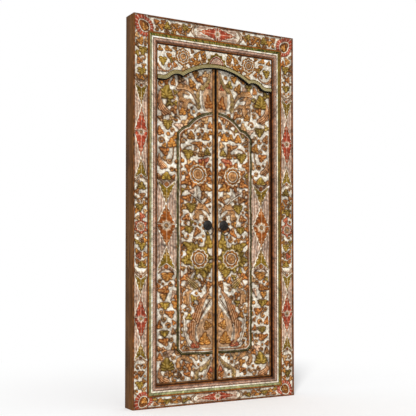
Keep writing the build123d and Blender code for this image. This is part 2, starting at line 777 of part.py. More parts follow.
batten_inner = leaf_inner + batten_meeting_margin
batten_outer = leaf_outer - batten_heel_margin
batten_middle_x = (batten_inner + batten_outer) / 2
batten_levels = {
    "bottom": leaf_foot + batten_end_margin,
    "middle": pull_height + batten_above_pull,
    "top": leaf_top - batten_end_margin,
}
leaf_back = Plane(origin=(0, depth_y(leaf_back_depth), 0), x_dir=(1, 0, 0), z_dir=(0, -1, 0))
nail_spots = [(batten_middle_x + column * nail_pitch / 2, level + row * nail_row_pitch / 2)
              for level in batten_levels.values() for column in (-1, 1) for row in (-1, 1)]
pull_front_y = depth_y(leaf_front_depth)
ring_y = pull_front_y - staple_stand_off
eye_radius = staple_wire + ring_wire + staple_clearance

with BuildPart() as leaf_right:
    with BuildSketch(Plane.XY.offset(leaf_foot)):
        with Locations((leaf_inner, depth_y(leaf_front_depth))):
            Rectangle(leaf_outer - leaf_inner, leaf_thickness, align=(Align.MIN, Align.MIN))
        heel = vertices().group_by(Axis.X)[-1].sort_by(Axis.Y)
        fillet(heel[0], heel_front_radius)
        fillet(vertices().group_by(Axis.X)[-1].sort_by(Axis.Y)[-1], heel_radius)
    extrude(amount=leaf_top - leaf_foot)
    with BuildSketch(front_plane(leaf_front_depth)):
        with Locations((field_inner, field_foot)):
            Rectangle(field_outer - field_inner, field_top - field_foot, align=(Align.MIN, Align.MIN))
    extrude(amount=-leaf_relief, mode=Mode.SUBTRACT)
    add(leaf_carving)
    with BuildSketch(ground_plane):
        with Locations((pull_from_middle, pull_height)):
            RegularPolygon(boss_radius + boss_seat_margin, boss_seat_sides)
    extrude(amount=leaf_relief)
    for end, align in ((leaf_foot, Align.MIN), (leaf_top, Align.MAX)):
        with Locations((pivot_x, pivot_y, end)):
            Cylinder(pin_radius, pin_in_leaf, align=(Align.CENTER, Align.CENTER, align),
                     mode=Mode.SUBTRACT)
    with BuildSketch(leaf_back):
        with Locations(*nail_spots):
            Rectangle(nail_side, nail_side)
    extrude(amount=nail_in_leaf, mode=Mode.SUBTRACT)
    with BuildSketch(leaf_back):
        with Locations((pull_from_middle, pull_height)):
            Circle(staple_shank_radius)
    extrude(amount=leaf_thickness, mode=Mode.SUBTRACT)

with BuildPart() as leaf_left:
    mirror(leaf_right.part, about=Plane.YZ)
save(leaf_right.part, "leaf_right")
save(leaf_left.part, "leaf_left")

# Pieces that each leaf carries
for side_name, side in (("left", -1), ("right", 1)):
    side_spots = [(side * x, z) for x, z in nail_spots]
    for level_name, level in batten_levels.items():
        with BuildPart() as batten:
            with Locations((side * batten_middle_x, depth_y(leaf_back_depth), level)):
                Box(batten_outer - batten_inner, batten_thickness, batten_height,
                    align=(Align.CENTER, Align.MIN, Align.CENTER))
            chamfer(faces().sort_by(Axis.Y)[-1].edges(), batten_edge)
            with BuildSketch(leaf_back):
                with Locations(*side_spots):
                    Rectangle(nail_side, nail_side)
            extrude(amount=-batten_thickness, mode=Mode.SUBTRACT)
        save(batten.part, f"batten_{level_name}_{side_name}")

    with BuildPart() as nails:
        with BuildSketch(leaf_back.offset(nail_in_leaf)):
            with Locations(*side_spots):
                Rectangle(nail_side, nail_side)
        extrude(amount=-nail_in_leaf - batten_thickness)
        for spot_x, spot_z in side_spots:
            with BuildSketch(leaf_back.offset(-batten_thickness)) as head_foot:
                with Locations((spot_x, spot_z)):
                    Rectangle(nail_head_side, nail_head_side)
            with BuildSketch(leaf_back.offset(-batten_thickness - nail_head_height)) as head_top:
                with Locations((spot_x, spot_z)):
                    Rectangle(nail_side, nail_side)
            loft(ruled=True)
    save(nails.part, f"batten_nails_{side_name}")

    for end_name, end, outward in (("bottom", leaf_foot, -1), ("top", leaf_top, 1)):
        with BuildPart() as pin:
            with Locations((side * pivot_x, pivot_y, end + outward * (pin_in_frame - pin_in_leaf) / 2)):
                Cylinder(pin_radius, pin_in_leaf + pin_in_frame)
        save(pin.part, f"pivot_{end_name}_{side_name}")

    pull_x = side * pull_from_middle
    dome_rise = boss_height - boss_rim
    dome_radius = (boss_radius ** 2 + dome_rise ** 2) / (2 * dome_rise)
    half_out = boss_rim + (dome_radius ** 2 - boss_radius ** 2 / 4) ** 0.5 - dome_radius + dome_rise
    with BuildPart() as boss:
        with BuildSketch(Plane((pull_x, pull_front_y, pull_height))):
            with BuildLine():
                Polyline((0, -boss_height), (0, 0), (boss_radius, 0), (boss_radius, -boss_rim))
                ThreePointArc((boss_radius, -boss_rim), (boss_radius / 2, -half_out), (0, -boss_height))
            make_face()
        revolve(axis=Axis((pull_x, pull_front_y, pull_height), (0, 1, 0)))
        with Locations((pull_x, pull_front_y, pull_height)):
            Cylinder(staple_shank_radius, 3 * boss_height, rotation=(90, 0, 0), mode=Mode.SUBTRACT)
        with Locations((pull_x, ring_y, pull_height)):
            Torus(eye_radius, staple_wire, rotation=(0, 90, 0), mode=Mode.SUBTRACT)
    save(boss.part, f"pull_boss_{side_name}")

    shank_length = staple_stand_off + leaf_thickness - eye_radius
    with BuildPart() as staple:
        with Locations((pull_x, ring_y, pull_height)):
            Torus(eye_radius, staple_wire, rotation=(0, 90, 0))
        with Locations((pull_x, ring_y + eye_radius + shank_length / 2, pull_height)):
            Cylinder(staple_shank_radius, shank_length, rotation=(90, 0, 0))
        with Locations((pull_x, depth_y(leaf_back_depth), pull_height)):
            Box(clench_length, staple_wire, 2 * staple_shank_radius,
                align=(Align.CENTER, Align.MIN, Align.CENTER))
    save(staple.part, f"pull_staple_{side_name}")

    with BuildPart() as ring:
        with Locations((pull_x, ring_y, pull_height - ring_radius)):
            Torus(ring_radius, ring_wire, rotation=(90, 0, 0))
    save(ring.part, f"pull_ring_{side_name}")
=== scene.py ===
from math import pi, radians

import bpy
import numpy as np
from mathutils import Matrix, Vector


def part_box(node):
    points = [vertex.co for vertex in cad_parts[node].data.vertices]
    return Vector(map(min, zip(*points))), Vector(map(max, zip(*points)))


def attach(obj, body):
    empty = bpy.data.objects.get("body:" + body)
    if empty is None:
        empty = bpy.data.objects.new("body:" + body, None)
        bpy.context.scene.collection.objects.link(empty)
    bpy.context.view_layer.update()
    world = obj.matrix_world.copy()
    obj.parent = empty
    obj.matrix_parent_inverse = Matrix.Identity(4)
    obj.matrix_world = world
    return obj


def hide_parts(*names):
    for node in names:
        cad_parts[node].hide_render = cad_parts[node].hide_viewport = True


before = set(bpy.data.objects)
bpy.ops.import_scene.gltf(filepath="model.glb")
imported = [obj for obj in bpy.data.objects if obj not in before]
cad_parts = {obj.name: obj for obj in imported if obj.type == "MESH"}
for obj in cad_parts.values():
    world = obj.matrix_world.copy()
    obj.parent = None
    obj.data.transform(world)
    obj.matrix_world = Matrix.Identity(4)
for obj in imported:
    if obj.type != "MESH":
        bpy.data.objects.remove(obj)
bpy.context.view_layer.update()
scene = bpy.context.scene
MM = 0.001

# Camera
# It stands to the left of the door at hip height and looks up a little.
# A small lens shift brings the whole door into the picture.
camera_place = (-2.2966, -3.9902, 0.7687)
camera_turn = -29.545
camera_pitch = 1.8
camera_reach = 819.85 / 416
camera_shift = 0.0714
camera_data = bpy.data.cameras.new("door_camera")
camera_data.sensor_width = 36.0
camera_data.lens = camera_reach * camera_data.sensor_width
camera_data.shift_y = camera_shift
camera = bpy.data.objects.new("door_camera", camera_data)
camera.location = camera_place
camera.rotation_euler = (radians(90 + camera_pitch), 0, radians(camera_turn))
scene.collection.objects.link(camera)
scene.camera = camera

# Floor and light
# A pale floor fades into a white backdrop. One large soft lamp stands high on the left
# in front of the door, and the surroundings fill the shadows.
scene.view_settings.view_transform = "Standard"
floor_half = 30.0
fade_near, fade_far = 0.9, 2.4
floor_grey = (0.98, 0.98, 0.98, 1)
world_fill = 0.62
lamp_strength = 2.0
lamp_spread = 9.0
lamp_tilt, lamp_turn = 52, -38


def add_node(tree, kind, settings=None, **sockets):
    """Add a shader node, set its own settings, and set or link its input sockets by name."""
    added = tree.nodes.new(kind)
    for setting, value in (settings or {}).items():
        setattr(added, setting, value)
    for label, value in sockets.items():
        number = label[1:]
        socket = added.inputs[int(number) if number.isdigit() else label.replace("_", " ")]
        if isinstance(value, bpy.types.NodeSocket):
            tree.links.new(value, socket)
        else:
            socket.default_value = value
    return added


def seen_directly(tree):
    """1 for rays from the camera and for what metal reflects, so that both meet the white backdrop."""
    path = add_node(tree, "ShaderNodeLightPath").outputs
    seen = add_node(tree, "ShaderNodeMath", {"operation": "MAXIMUM"},
                    _0=path["Is Camera Ray"], _1=path["Is Glossy Ray"]).outputs[0]
    return add_node(tree, "ShaderNodeMath", {"operation": "MAXIMUM"},
                    _0=seen, _1=path["Is Transmission Ray"]).outputs[0]


floor_mesh = bpy.data.meshes.new("floor")
floor_mesh.from_pydata([(-floor_half, -floor_half, 0), (floor_half, -floor_half, 0),
                        (floor_half, floor_half, 0), (-floor_half, floor_half, 0)], [], [(0, 1, 2, 3)])
floor_paint = bpy.data.materials.new("floor_paint")
floor_paint.use_nodes = True
tree = floor_paint.node_tree
tree.nodes.clear()
matt = add_node(tree, "ShaderNodeBsdfDiffuse", Color=floor_grey).outputs[0]
glow = add_node(tree, "ShaderNodeEmission", Color=(1, 1, 1, 1), Strength=1.0).outputs[0]
floor_spot = add_node(tree, "ShaderNodeTexCoord").outputs["Object"]
floor_reach = add_node(tree, "ShaderNodeVectorMath", {"operation": "LENGTH"},
                       _0=floor_spot).outputs["Value"]
fade = add_node(tree, "ShaderNodeMapRange", {"interpolation_type": "SMOOTHSTEP"}, Value=floor_reach,
                From_Min=fade_near, From_Max=fade_far).outputs[0]
white_share = add_node(tree, "ShaderNodeMath", {"operation": "MULTIPLY"},
                       _0=fade, _1=seen_directly(tree)).outputs[0]
faded = add_node(tree, "ShaderNodeMixShader", _0=white_share, _1=matt, _2=glow).outputs[0]
add_node(tree, "ShaderNodeOutputMaterial", Surface=faded)
floor_mesh.materials.append(floor_paint)
floor = bpy.data.objects.new("floor", floor_mesh)
scene.collection.objects.link(floor)

world = bpy.data.worlds.new("studio")
world.use_nodes = True
tree = world.node_tree
tree.nodes.clear()
level = add_node(tree, "ShaderNodeMapRange", Value=seen_directly(tree), To_Min=world_fill,
                 To_Max=1.0).outputs[0]
sky = add_node(tree, "ShaderNodeBackground", Color=(1, 1, 1, 1), Strength=level).outputs[0]
add_node(tree, "ShaderNodeOutputWorld", Surface=sky)
scene.world = world

lamp_data = bpy.data.lights.new("high_left_lamp", "SUN")
lamp_data.energy = lamp_strength
lamp_data.angle = radians(lamp_spread)
lamp = bpy.data.objects.new("high_left_lamp", lamp_data)
lamp.rotation_euler = (radians(lamp_tilt), 0, radians(lamp_turn))
scene.collection.objects.link(lamp)

# Jambs, head and sill
# Four lengths of hardwood, moulded along the inside edge and carved in a sunk band, then painted
# and rubbed. The moulding is mitred at the corners, and the head and the sill are tenoned and pegged.
jamb_low, jamb_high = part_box("jamb_right")
frame_half = jamb_high.x / MM
frame_top = jamb_high.z / MM
front_y = jamb_low.y / MM
frame_depth = (jamb_high.y - jamb_low.y) / MM
opening_half = jamb_low.x / MM
head_sight = 1957.0
sill_sight = 118.0
moulding_width = 58.0
rebate_step = 12.0
lip_depth = 23.5
arris_width = 7.0
band_sink = 7.0
band_relief = 6.0
shoulder_half = opening_half + moulding_width
bevel_start, bevel_end = 36.0, 49.0
notch_pitch, dash_pitch = 10.4, 19.0
carving_pitch, column_pitch = 2.6, 2.15
corner_across, head_corner_up, sill_corner_up = 450.0, 2036.0, 44.0

CREAM = np.array([0.88, 0.82, 0.73])
CHALK = np.array([0.84, 0.80, 0.73])
TAN = np.array([0.72, 0.54, 0.36])
STRAW = np.array([0.90, 0.77, 0.54])
BROWN = np.array([0.38, 0.23, 0.12])
WALL = np.array([0.24, 0.13, 0.06])
OCHRE = np.array([0.57, 0.35, 0.135])
OLIVE = np.array([0.44, 0.345, 0.11])
ORANGE = np.array([0.54, 0.295, 0.12])
RED = np.array([0.58, 0.25, 0.17])
PINK = np.array([0.70, 0.56, 0.48])
LINE_GREEN = np.array([0.11, 0.17, 0.04])
PALE_GREEN = np.array([0.66, 0.65, 0.46])
# Black laid in gaps, at the heel and under the arch is painted shadow.
SHADOW_BLACK = np.array([0.06, 0.045, 0.035])
PAINTS = {"ochre": OCHRE, "olive": OLIVE, "orange": ORANGE, "red": RED, "pink": PINK, "brown": BROWN,
          "cream": CREAM, "tan": TAN, "green": LINE_GREEN, "pale_green": PALE_GREEN}
chance = np.random.default_rng(7)


def smooth(low, high, value):
    """Share from 0 at low to 1 at high, eased at both ends as 3t^2 - 2t^3."""
    t = np.clip((value - low) / (high - low), 0, 1)
    return t * t * (3 - 2 * t)


def blurred(values, size):
    """Mean over a window of 2 * size + 1 points each way, taken twice from running sums."""
    window = 2 * size + 1
    for axis in (0, 1, 0, 1):
        margin = [(0, 0)] * values.ndim
        margin[axis] = (size + 1, size)
        sums = np.cumsum(np.pad(values, margin, mode="edge"), axis=axis)
        upper = np.take(sums, np.arange(window, sums.shape[axis]), axis=axis)
        lower = np.take(sums, np.arange(sums.shape[axis] - window), axis=axis)
        values = (upper - lower) / window
    return values


def mottle(shape, size):
    """Soft random field with a mean of 0 and a spread of 1."""
    field = blurred(chance.normal(size=shape), size)
    return (field - field.mean()) / field.std()


def beside(across, up, path):
    """Distance of each point to a path of straight stretches, the share of the path reached there, and
    the side: 1 to the left of the path and -1 to its right."""
    gap, share, side = np.full(across.shape, np.inf), np.zeros(across.shape), np.ones(across.shape)
    sizes = np.hypot(*np.diff(path, axis=0).T)
    run = np.r_[0, np.cumsum(sizes)] / sizes.sum()
    for a, b, size, low, high in zip(path[:-1], path[1:], sizes, run[:-1], run[1:]):
        step = (b - a) / size
        dx, dz = across - a[0], up - a[1]
        along = np.clip((dx * step[0] + dz * step[1]) / size, 0, 1)
        apart = np.hypot(dx - along * size * step[0], dz - along * size * step[1])
        nearer = apart < gap
        gap = np.where(nearer, apart, gap)
        share = np.where(nearer, low + along * (high - low), share)
        side = np.where(nearer, np.where(step[0] * dz > step[1] * dx, 1, -1), side)
    return gap, share, side


def quadratic(start, bend, end, count=12):
    """Points of the curve that leaves its start towards the bend and reaches its end from there."""
    t = np.linspace(0, 1, count)[:, None]
    return (1 - t) ** 2 * np.array(start) + 2 * t * (1 - t) * np.array(bend) + t ** 2 * np.array(end)


def clearance(bare, steps=9):
    """How many points each bare place lies from the nearest work, counted by wearing the area away."""
    room, left = np.zeros(bare.shape), bare
    for step in range(steps):
        room = room + left
        wide = np.pad(left, 1)
        worn = wide[:-2, 1:-1] & wide[2:, 1:-1] & wide[1:-1, :-2] & wide[1:-1, 2:]
        if step % 2:
            worn = worn & wide[:-2, :-2] & wide[:-2, 2:] & wide[2:, :-2] & wide[2:, 2:]
        left = left & worn
    return room


class CarvedFace:
    """Points of a carved front: their drawn place, their rise above the ground in mm and their paint."""

    def __init__(self, across, up, ground, relief):
        self.across, self.up, self.relief = across, up, relief
        self.rise = np.zeros(across.shape)
        self.paint = np.ones(across.shape + (3,)) * ground

    def near(self, x, z, reach):
        """Rows and columns that lie within reach of a point."""
        close = (np.abs(self.across - x) < reach) & (np.abs(self.up - z) < reach)
        rows, columns = np.flatnonzero(close.any(axis=1)), np.flatnonzero(close.any(axis=0))
        if len(rows) == 0:
            return np.s_[0:0, 0:0]
        return np.s_[rows[0]:rows[-1] + 1, columns[0]:columns[-1] + 1]

    def tint(self, part, share, paint):
        """Lay paint over part of the face, covering it by a share."""
        self.paint[part] += share[..., None] * (paint - self.paint[part])

    def lay(self, part, inside, rise, paint, halo=0.0, wall_shade_and_dirt=0.65):
        """Lay a motif on the board. inside is each point's depth within the outline, in mm."""
        if halo:
            self.tint(part, smooth(-halo - 1.5, -halo + 0.5, inside) * 0.9, CREAM)
        cover = smooth(-1.0, 1.4, inside)
        self.rise[part] += cover * (rise - self.rise[part])
        self.tint(part, cover, paint)
        # Painted shade and dirt at the side wall: a band across the outline is laid dark brown.
        edge = smooth(-1.8, -0.3, inside) * (1 - smooth(0.4, 2.8, inside))
        self.tint(part, edge * wall_shade_and_dirt, WALL)

    def leaf(self, x, z, length, width, angle, colour="ochre", pairs=2, halo=0.0):
        """Carved leaf: a tip and pairs of lobes, each an ellipse that leans forward from the midrib.

        A groove parts each lobe from its neighbours, and a pale vein runs along it.
        """
        part = self.near(x, z, 0.55 * length + 0.35 * width + 6)
        turn = radians(angle)
        dx, dz = self.across[part] - x, self.up[part] - z
        if dx.size == 0:
            return
        u = dx * np.cos(turn) + dz * np.sin(turn) + length / 2
        v = dz * np.cos(turn) - dx * np.sin(turn)
        t = np.clip(u / length, 0, 1)
        v = v - chance.uniform(-0.12, 0.12) * length * (4 * t * (1 - t) - 0.5)
        lobes = [(0.22 * length, 0.0, 0.78 * length, 0.24 * width + 1)]
        for rank in range(pairs):
            share = rank / pairs
            lean = radians(80 - 38 * share)
            for side in (-1, 1):
                reach = width * (0.56 - 0.12 * share) * chance.uniform(0.9, 1.1)
                root = (0.20 + 0.32 * share) * length
                lobes.append((root, side * lean, reach, 0.40 * length / (pairs + 0.5)))
        depths, veins = [], []
        for root, lean, reach, half in lobes:
            along = (u - root) * np.cos(lean) + v * np.sin(lean)
            aside = np.abs(v * np.cos(lean) - (u - root) * np.sin(lean))
            oval = np.hypot(2 * along / reach - 1, aside / half)
            depths.append((1 - oval) * min(half, reach / 2))
            veins.append((1 - smooth(0.1, 0.55, aside / half)) * smooth(0.0, 0.25, along / reach))
        depths = np.stack(depths)
        first, second = np.sort(depths, axis=0)[:-3:-1]
        vein = np.take_along_axis(np.stack(veins), depths.argmax(axis=0)[None], axis=0)[0]
        groove = (1 - smooth(0.0, 2.0, first - second)) * smooth(0.0, 2.0, first)
        rise = self.relief * (0.62 + 0.34 * smooth(0, 7, first)) - 0.22 * self.relief * groove
        body = PAINTS[colour] * (1 + 0.10 * chance.normal())
        pale = 0.55 * body + 0.45 * STRAW
        paint = body + (0.75 * vein * smooth(1, 4, first))[..., None] * (pale - body)
        # Painted shade in the groove between lobes: brown is laid along it.
        paint = paint + (0.45 * groove)[..., None] * (BROWN * 0.8 - paint)
        self.lay(part, first, rise, paint, halo)

    def ball(self, x, z, radius, colour="ochre", halo=0.0):
        """Carved bud: a dome whose rise is the root of 1 - (r / radius)^2."""
        part = self.near(x, z, radius + 6)
        r = np.hypot(self.across[part] - x, self.up[part] - z)
        rise = self.relief * (0.45 + 0.5 * np.sqrt(np.clip(1 - (r / radius) ** 2, 0, 1)))
        body = PAINTS[colour] * (1 + 0.10 * chance.normal())
        # Painted highlight and rubbed paint: the dome is laid paler towards its top.
        pale = 0.20 * smooth(0.5, 0, r / radius)
        self.lay(part, radius - r, rise, body + pale[..., None] * (CREAM - body), halo)

    def ribbon(self, path, width_start, width_end, colour="ochre", height=0.85, halo=0.0, wall_shade_and_dirt=0.75):
        """Carved band along a path, pale along its middle and rounded across its width as root(1 - s^2)."""
        path = np.array(path, float)
        middle = (path.min(axis=0) + path.max(axis=0)) / 2
        part = self.near(*middle, np.ptp(path, axis=0).max() / 2 + max(width_start, width_end) + 6)
        gap, share, _ = beside(self.across[part], self.up[part], path)
        half = (width_start + (width_end - width_start) * share) / 2
        side = np.clip(gap / half, 0, 1)
        rise = self.relief * height * (0.6 + 0.4 * np.sqrt(1 - side ** 2))
        body = PAINTS[colour] * (1 + 0.06 * chance.normal())
        # Painted highlight and rubbed paint: the band is laid paler along its crest.
        pale = (0.05 if colour == "green" else 0.30) * (1 - smooth(0.1, 0.6, side))
        self.lay(part, half - gap, rise, body + pale[..., None] * (CREAM - body), halo, wall_shade_and_dirt)

    def curl(self, x, z, radius, start, turn, colour="ochre", width=8.0, halo=0.0):
        """Volute: a ribbon on a spiral whose radius shrinks to a quarter, with a bud in its eye."""
        share = np.linspace(0, 1, 15)
        angle = np.radians(start + turn * share)
        reach = radius * (1 - 0.72 * share)
        path = np.c_[x + reach * np.cos(angle), z + reach * np.sin(angle)]
        self.ribbon(path, width * 0.75, width, colour, 0.8, halo)
        self.ball(*path[-1], width * 0.8, colour)

    def bow(self, start, bend, end, width_start, width_end, colour="ochre", halo=0.0, wall_shade_and_dirt=0.75):
        """Stem along a quadratic curve pulled towards its bend."""
        self.ribbon(quadratic(start, bend, end), width_start, width_end, colour, 0.8, halo, wall_shade_and_dirt)

    def blade(self, start, bend, end, width_start, width_end, colour="ochre", lobes=4, side=1):
        """Long curled leaf along a quadratic curve: striped lengthwise, with round lobes along one side.

        Its stripes follow |v| across the width, and its outer edge swings out as |sin(pi lobes s)|.
        """
        path = quadratic(start, bend, end, 16)
        middle = (path.min(axis=0) + path.max(axis=0)) / 2
        part = self.near(*middle, np.ptp(path, axis=0).max() / 2 + width_end + 8)
        gap, share, left = beside(self.across[part], self.up[part], path)
        outward = gap * left * side
        half = (width_start + (width_end - width_start) * smooth(0, 0.8, share)) / 2
        swing = np.abs(np.sin(pi * lobes * share)) ** 0.6 * smooth(0.05, 0.3, share)
        quiet_side = half * (0.45 + 0.5 * swing) if colour == "olive" else half
        limit = np.where(outward > 0, half * (0.55 + 0.85 * swing), quiet_side)
        inside = limit - gap
        v = outward / half
        stripe = np.cos(2 * pi * 1.7 * v + 0.6)
        tipward = smooth(-0.5, 0.7, v) * smooth(0.05, 0.5, share)
        base = 0.5 * PAINTS[colour] + 0.35 * TAN + 0.15 * PINK
        body = base + tipward[..., None] * (PAINTS[colour] * (1 + 0.08 * chance.normal()) - base)
        paint = body + (0.50 * np.clip(stripe, 0, 1))[..., None] * (CREAM - body)
        paint = paint + (0.70 * np.clip(-stripe, 0, 1) ** 2)[..., None] * (BROWN - paint)
        # Painted shade in the notches between lobes: dark brown is laid there.
        notch = (1 - smooth(0.05, 0.4, swing)) * smooth(0.1, 0.6, v) * smooth(0.3, 0.4, share)
        paint = paint + (0.6 * notch)[..., None] * (WALL - paint)
        rise = self.relief * (0.55 + 0.3 * smooth(0, 7, inside) + 0.08 * stripe - 0.15 * notch)
        self.lay(part, inside, rise, paint)

    def rosette(self, x, z, radius, disc, petals, sepals, sepal_length, sepal_colour="orange"):
        """Flower: lobed sepals all round, a ring of scalloped petals in white lines, and a ringed disc.

        The petals' outline swings in from the radius as 1 - |cos(petals a / 2)|^0.7 round the angle a.
        """
        large = radius > 45
        tail = radius * 0.80
        for number in range(sepals):
            angle = 360 * (number + 0.5) / sepals + chance.uniform(-7, 7)
            size = sepal_length * chance.uniform(0.85, 1.15)
            away = tail + size / 2
            self.leaf(x + away * np.cos(radians(angle)), z + away * np.sin(radians(angle)), size,
                      5.6 * tail / sepals + 12, angle, sepal_colour, 1)
        part = self.near(x, z, radius + 8)
        dx, dz = self.across[part] - x, self.up[part] - z
        r, angle = np.hypot(dx, dz), np.arctan2(dz, dx)
        petal = np.abs(np.cos(petals / 2 * angle))
        level = 0 * r
        bite = 0.14 if large else 0.20
        outline = radius * (1 - bite + bite * petal ** 0.7)
        self.lay(part, outline - r, self.relief * 0.72 + level, CREAM * 1.02 + level[..., None], 1.5, 0.2)
        outline = outline - 0.05 * radius - 2.8
        heart = smooth(0.3, 0.8, petal) * smooth(2, 5, outline - r) * smooth(1.35 * disc, 1.5 * disc, r)
        body = OCHRE * 0.88 + (0.55 * heart)[..., None] * (TAN * 1.1 - OCHRE * 0.88)
        parting = WALL if large else CREAM
        body = body + (0.9 * (1 - smooth(0.08, 0.24, petal)))[..., None] * (parting - body)
        self.lay(part, outline - r, self.relief * (0.80 + 0.12 * petal), body, wall_shade_and_dirt=0.8)
        ring = disc * (1.19 if large else 1.30)
        self.lay(part, ring - r, self.relief * 0.90 + level, CREAM * 1.02 + level[..., None], wall_shade_and_dirt=0.3)
        rings, shift = (1.5, pi) if large else (1.0, 0)
        wave = 0.5 + 0.5 * np.cos(2 * pi * rings * r / disc + shift)
        paint = TAN * 0.92 + (wave * 0.75)[..., None] * (BROWN * 1.2 - TAN * 0.92)
        dome = 0.70 + 0.2 * smooth(disc, 0, r) + 0.1 * wave
        self.lay(part, disc - r, self.relief * dome, paint, wall_shade_and_dirt=0.9)

    def spear(self, x, z, length, width, angle, colour, steps, notch=0.3):
        """Half a long diamond from its wide end at a point to its tip, with lobed sides in a white line.

        Each lobe is the half circle root(1 - s^2) over one step of the side. The wide end is notched.
        """
        turn = radians(angle)
        middle_x, middle_z = x + length / 2 * np.cos(turn), z + length / 2 * np.sin(turn)
        part = self.near(middle_x, middle_z, (length + width) / 2 + 8)
        dx, dz = self.across[part] - x, self.up[part] - z
        u = (dx * np.cos(turn) + dz * np.sin(turn)) / length
        v = np.abs(dz * np.cos(turn) - dx * np.sin(turn))
        slope = length / np.hypot(length, width / 2)
        side = ((1 - u) * width / 2 - v) * slope
        end = u * length - (notch * width - 0.7 * v if notch else -8 + 0 * v)
        flat = 0 * u
        line = np.minimum(side, end)
        self.lay(part, line + 2, self.relief * 0.62 + flat, CREAM * 1.05 + flat[..., None], wall_shade_and_dirt=0.1)
        step = ((1 - u) * steps) % 1
        lobe = np.sqrt(np.clip(1 - (2 * step - 1) ** 2, 0, 1))
        inside = np.minimum(side - 2.0 - 0.07 * width * (1 - lobe), end - 2.5)
        body = PAINTS[colour] * (0.94 + 0.10 * chance.random())
        body = body + smooth(0.3, 1.0, u)[..., None] * (body * 0.5 + OCHRE * 0.55 - body)
        vein = (1 - smooth(0.04, 0.16, np.abs(step - 0.5))) * smooth(1, 4, inside)
        vein = vein * (1 - smooth(9, 14, inside))
        spine = (1 - smooth(0.5, 2.4, v)) * smooth(0.06, 0.2, 1 - u) * smooth(1, 4, inside)
        pale = np.clip(0.5 * vein + 0.6 * spine, 0, 0.7)
        rise = self.relief * (0.74 + 0.22 * smooth(0, width / 5, inside))
        self.lay(part, inside, rise, body + pale[..., None] * (CREAM - body), wall_shade_and_dirt=0.7)

    def diamond(self, x, z, tall, wide, colour="red", steps=4, eye=9.0, level=False):
        """Two spears end to end, with a pale star of eight rays and a ringed eye where they meet."""
        for angle in ((0, 180) if level else (90, -90)):
            self.spear(x, z, tall / 2, wide, angle, colour, steps, 0)
        part = self.near(x, z, 4 * eye)
        dx, dz = self.across[part] - x, self.up[part] - z
        r = np.hypot(dx, dz)
        ray = smooth(0.75, 1.0, np.cos(8 * np.arctan2(dz, dx))) * (1 - smooth(2.0 * eye, 3.0 * eye, r))
        glow = 1 - smooth(1.6 * eye, 2.7 * eye, r)
        self.tint(part, np.clip(0.75 * ray + 0.7 * glow, 0, 0.9), CREAM)
        flat = 0 * r
        self.lay(part, 1.5 * eye - r, self.relief * 0.92 + flat, CREAM + flat[..., None], wall_shade_and_dirt=0.3)
        dome = self.relief * (0.7 + 0.4 * smooth(eye, 0, r))
        self.lay(part, eye - r, dome, TAN * 0.8 + flat[..., None], wall_shade_and_dirt=0.9)

    def dart(self, x, z, length, width, angle, colour="olive"):
        """Spear notched at its wide end, where a cream arc and a bud are set into the notch."""
        turn = radians(angle)
        base_x, base_z = x - length / 2 * np.cos(turn), z - length / 2 * np.sin(turn)
        self.spear(base_x, base_z, length, width, angle, colour, 4)
        bud_x, bud_z = base_x + 0.12 * width * np.cos(turn), base_z + 0.12 * width * np.sin(turn)
        self.ball(bud_x, bud_z, 0.11 * width, "orange", 3.0)

    def fill(self, zone, pitch, least):
        """Set leaflets, hooks and buds into the widest bare places until none has room for another."""
        bare = zone & (self.rise < 0.4)
        room = clearance(bare)
        rows, columns = room.shape
        for _ in range(400):
            row, column = np.unravel_index(np.argmax(room), room.shape)
            reach = room[row, column] * pitch
            if reach < least:
                break
            x, z, angle = self.across[row, column], self.up[row, column], chance.uniform(0, 360)
            kind = chance.random()
            colour = chance.choice(["ochre", "orange", "brown", "ochre", "tan", "olive"])
            if kind < 0.45:
                self.leaf(x, z, 1.9 * reach, 1.6 * reach, angle, colour, 1)
            elif kind < 0.85:
                self.curl(x, z, 0.75 * reach, angle, chance.choice([-250, 250]), "ochre", 0.45 * reach)
            else:
                self.ball(x, z, 0.45 * reach, "ochre")
            low_row, low_column = max(row - 24, 0), max(column - 24, 0)
            outer = np.s_[low_row:row + 25, low_column:column + 25]
            bare[outer] = zone[outer] & (self.rise[outer] < 0.4)
            bare[row, column] = False
            fresh = clearance(bare[outer])
            high_row, high_column = min(row + 15, rows), min(column + 15, columns)
            inner_row, inner_column = max(row - 14, 0), max(column - 14, 0)
            room[inner_row:high_row, inner_column:high_column] = fresh[
                inner_row - low_row:high_row - low_row,
                inner_column - low_column:high_column - low_column]

    def age(self, hollow_shade=0.5, rub=0.40):
        """Paint shade into the hollows beside raised work, and rub the paint pale along its edges.

        A hollow's depth is the mean rise round a point less the point's own rise.
        """
        hollow = blurred(self.rise, 2) - self.rise
        patch = smooth(-0.4, 1.4, mottle(self.rise.shape, 3))
        # Painted shade: the hollows beside raised work are laid dark brown.
        self.tint(np.s_[:, :], smooth(0.7, 3.4, hollow) * hollow_shade, WALL * 1.15)
        self.tint(np.s_[:, :], np.clip(-hollow / 2.0 - 0.3, 0, 1) * rub * patch, CREAM)
        shade = 1 + 0.12 * mottle(self.rise.shape, 1) + 0.07 * mottle(self.rise.shape, 9)
        self.paint *= shade[..., None]
        self.paint = np.clip(self.paint, 0.01, 0.95)

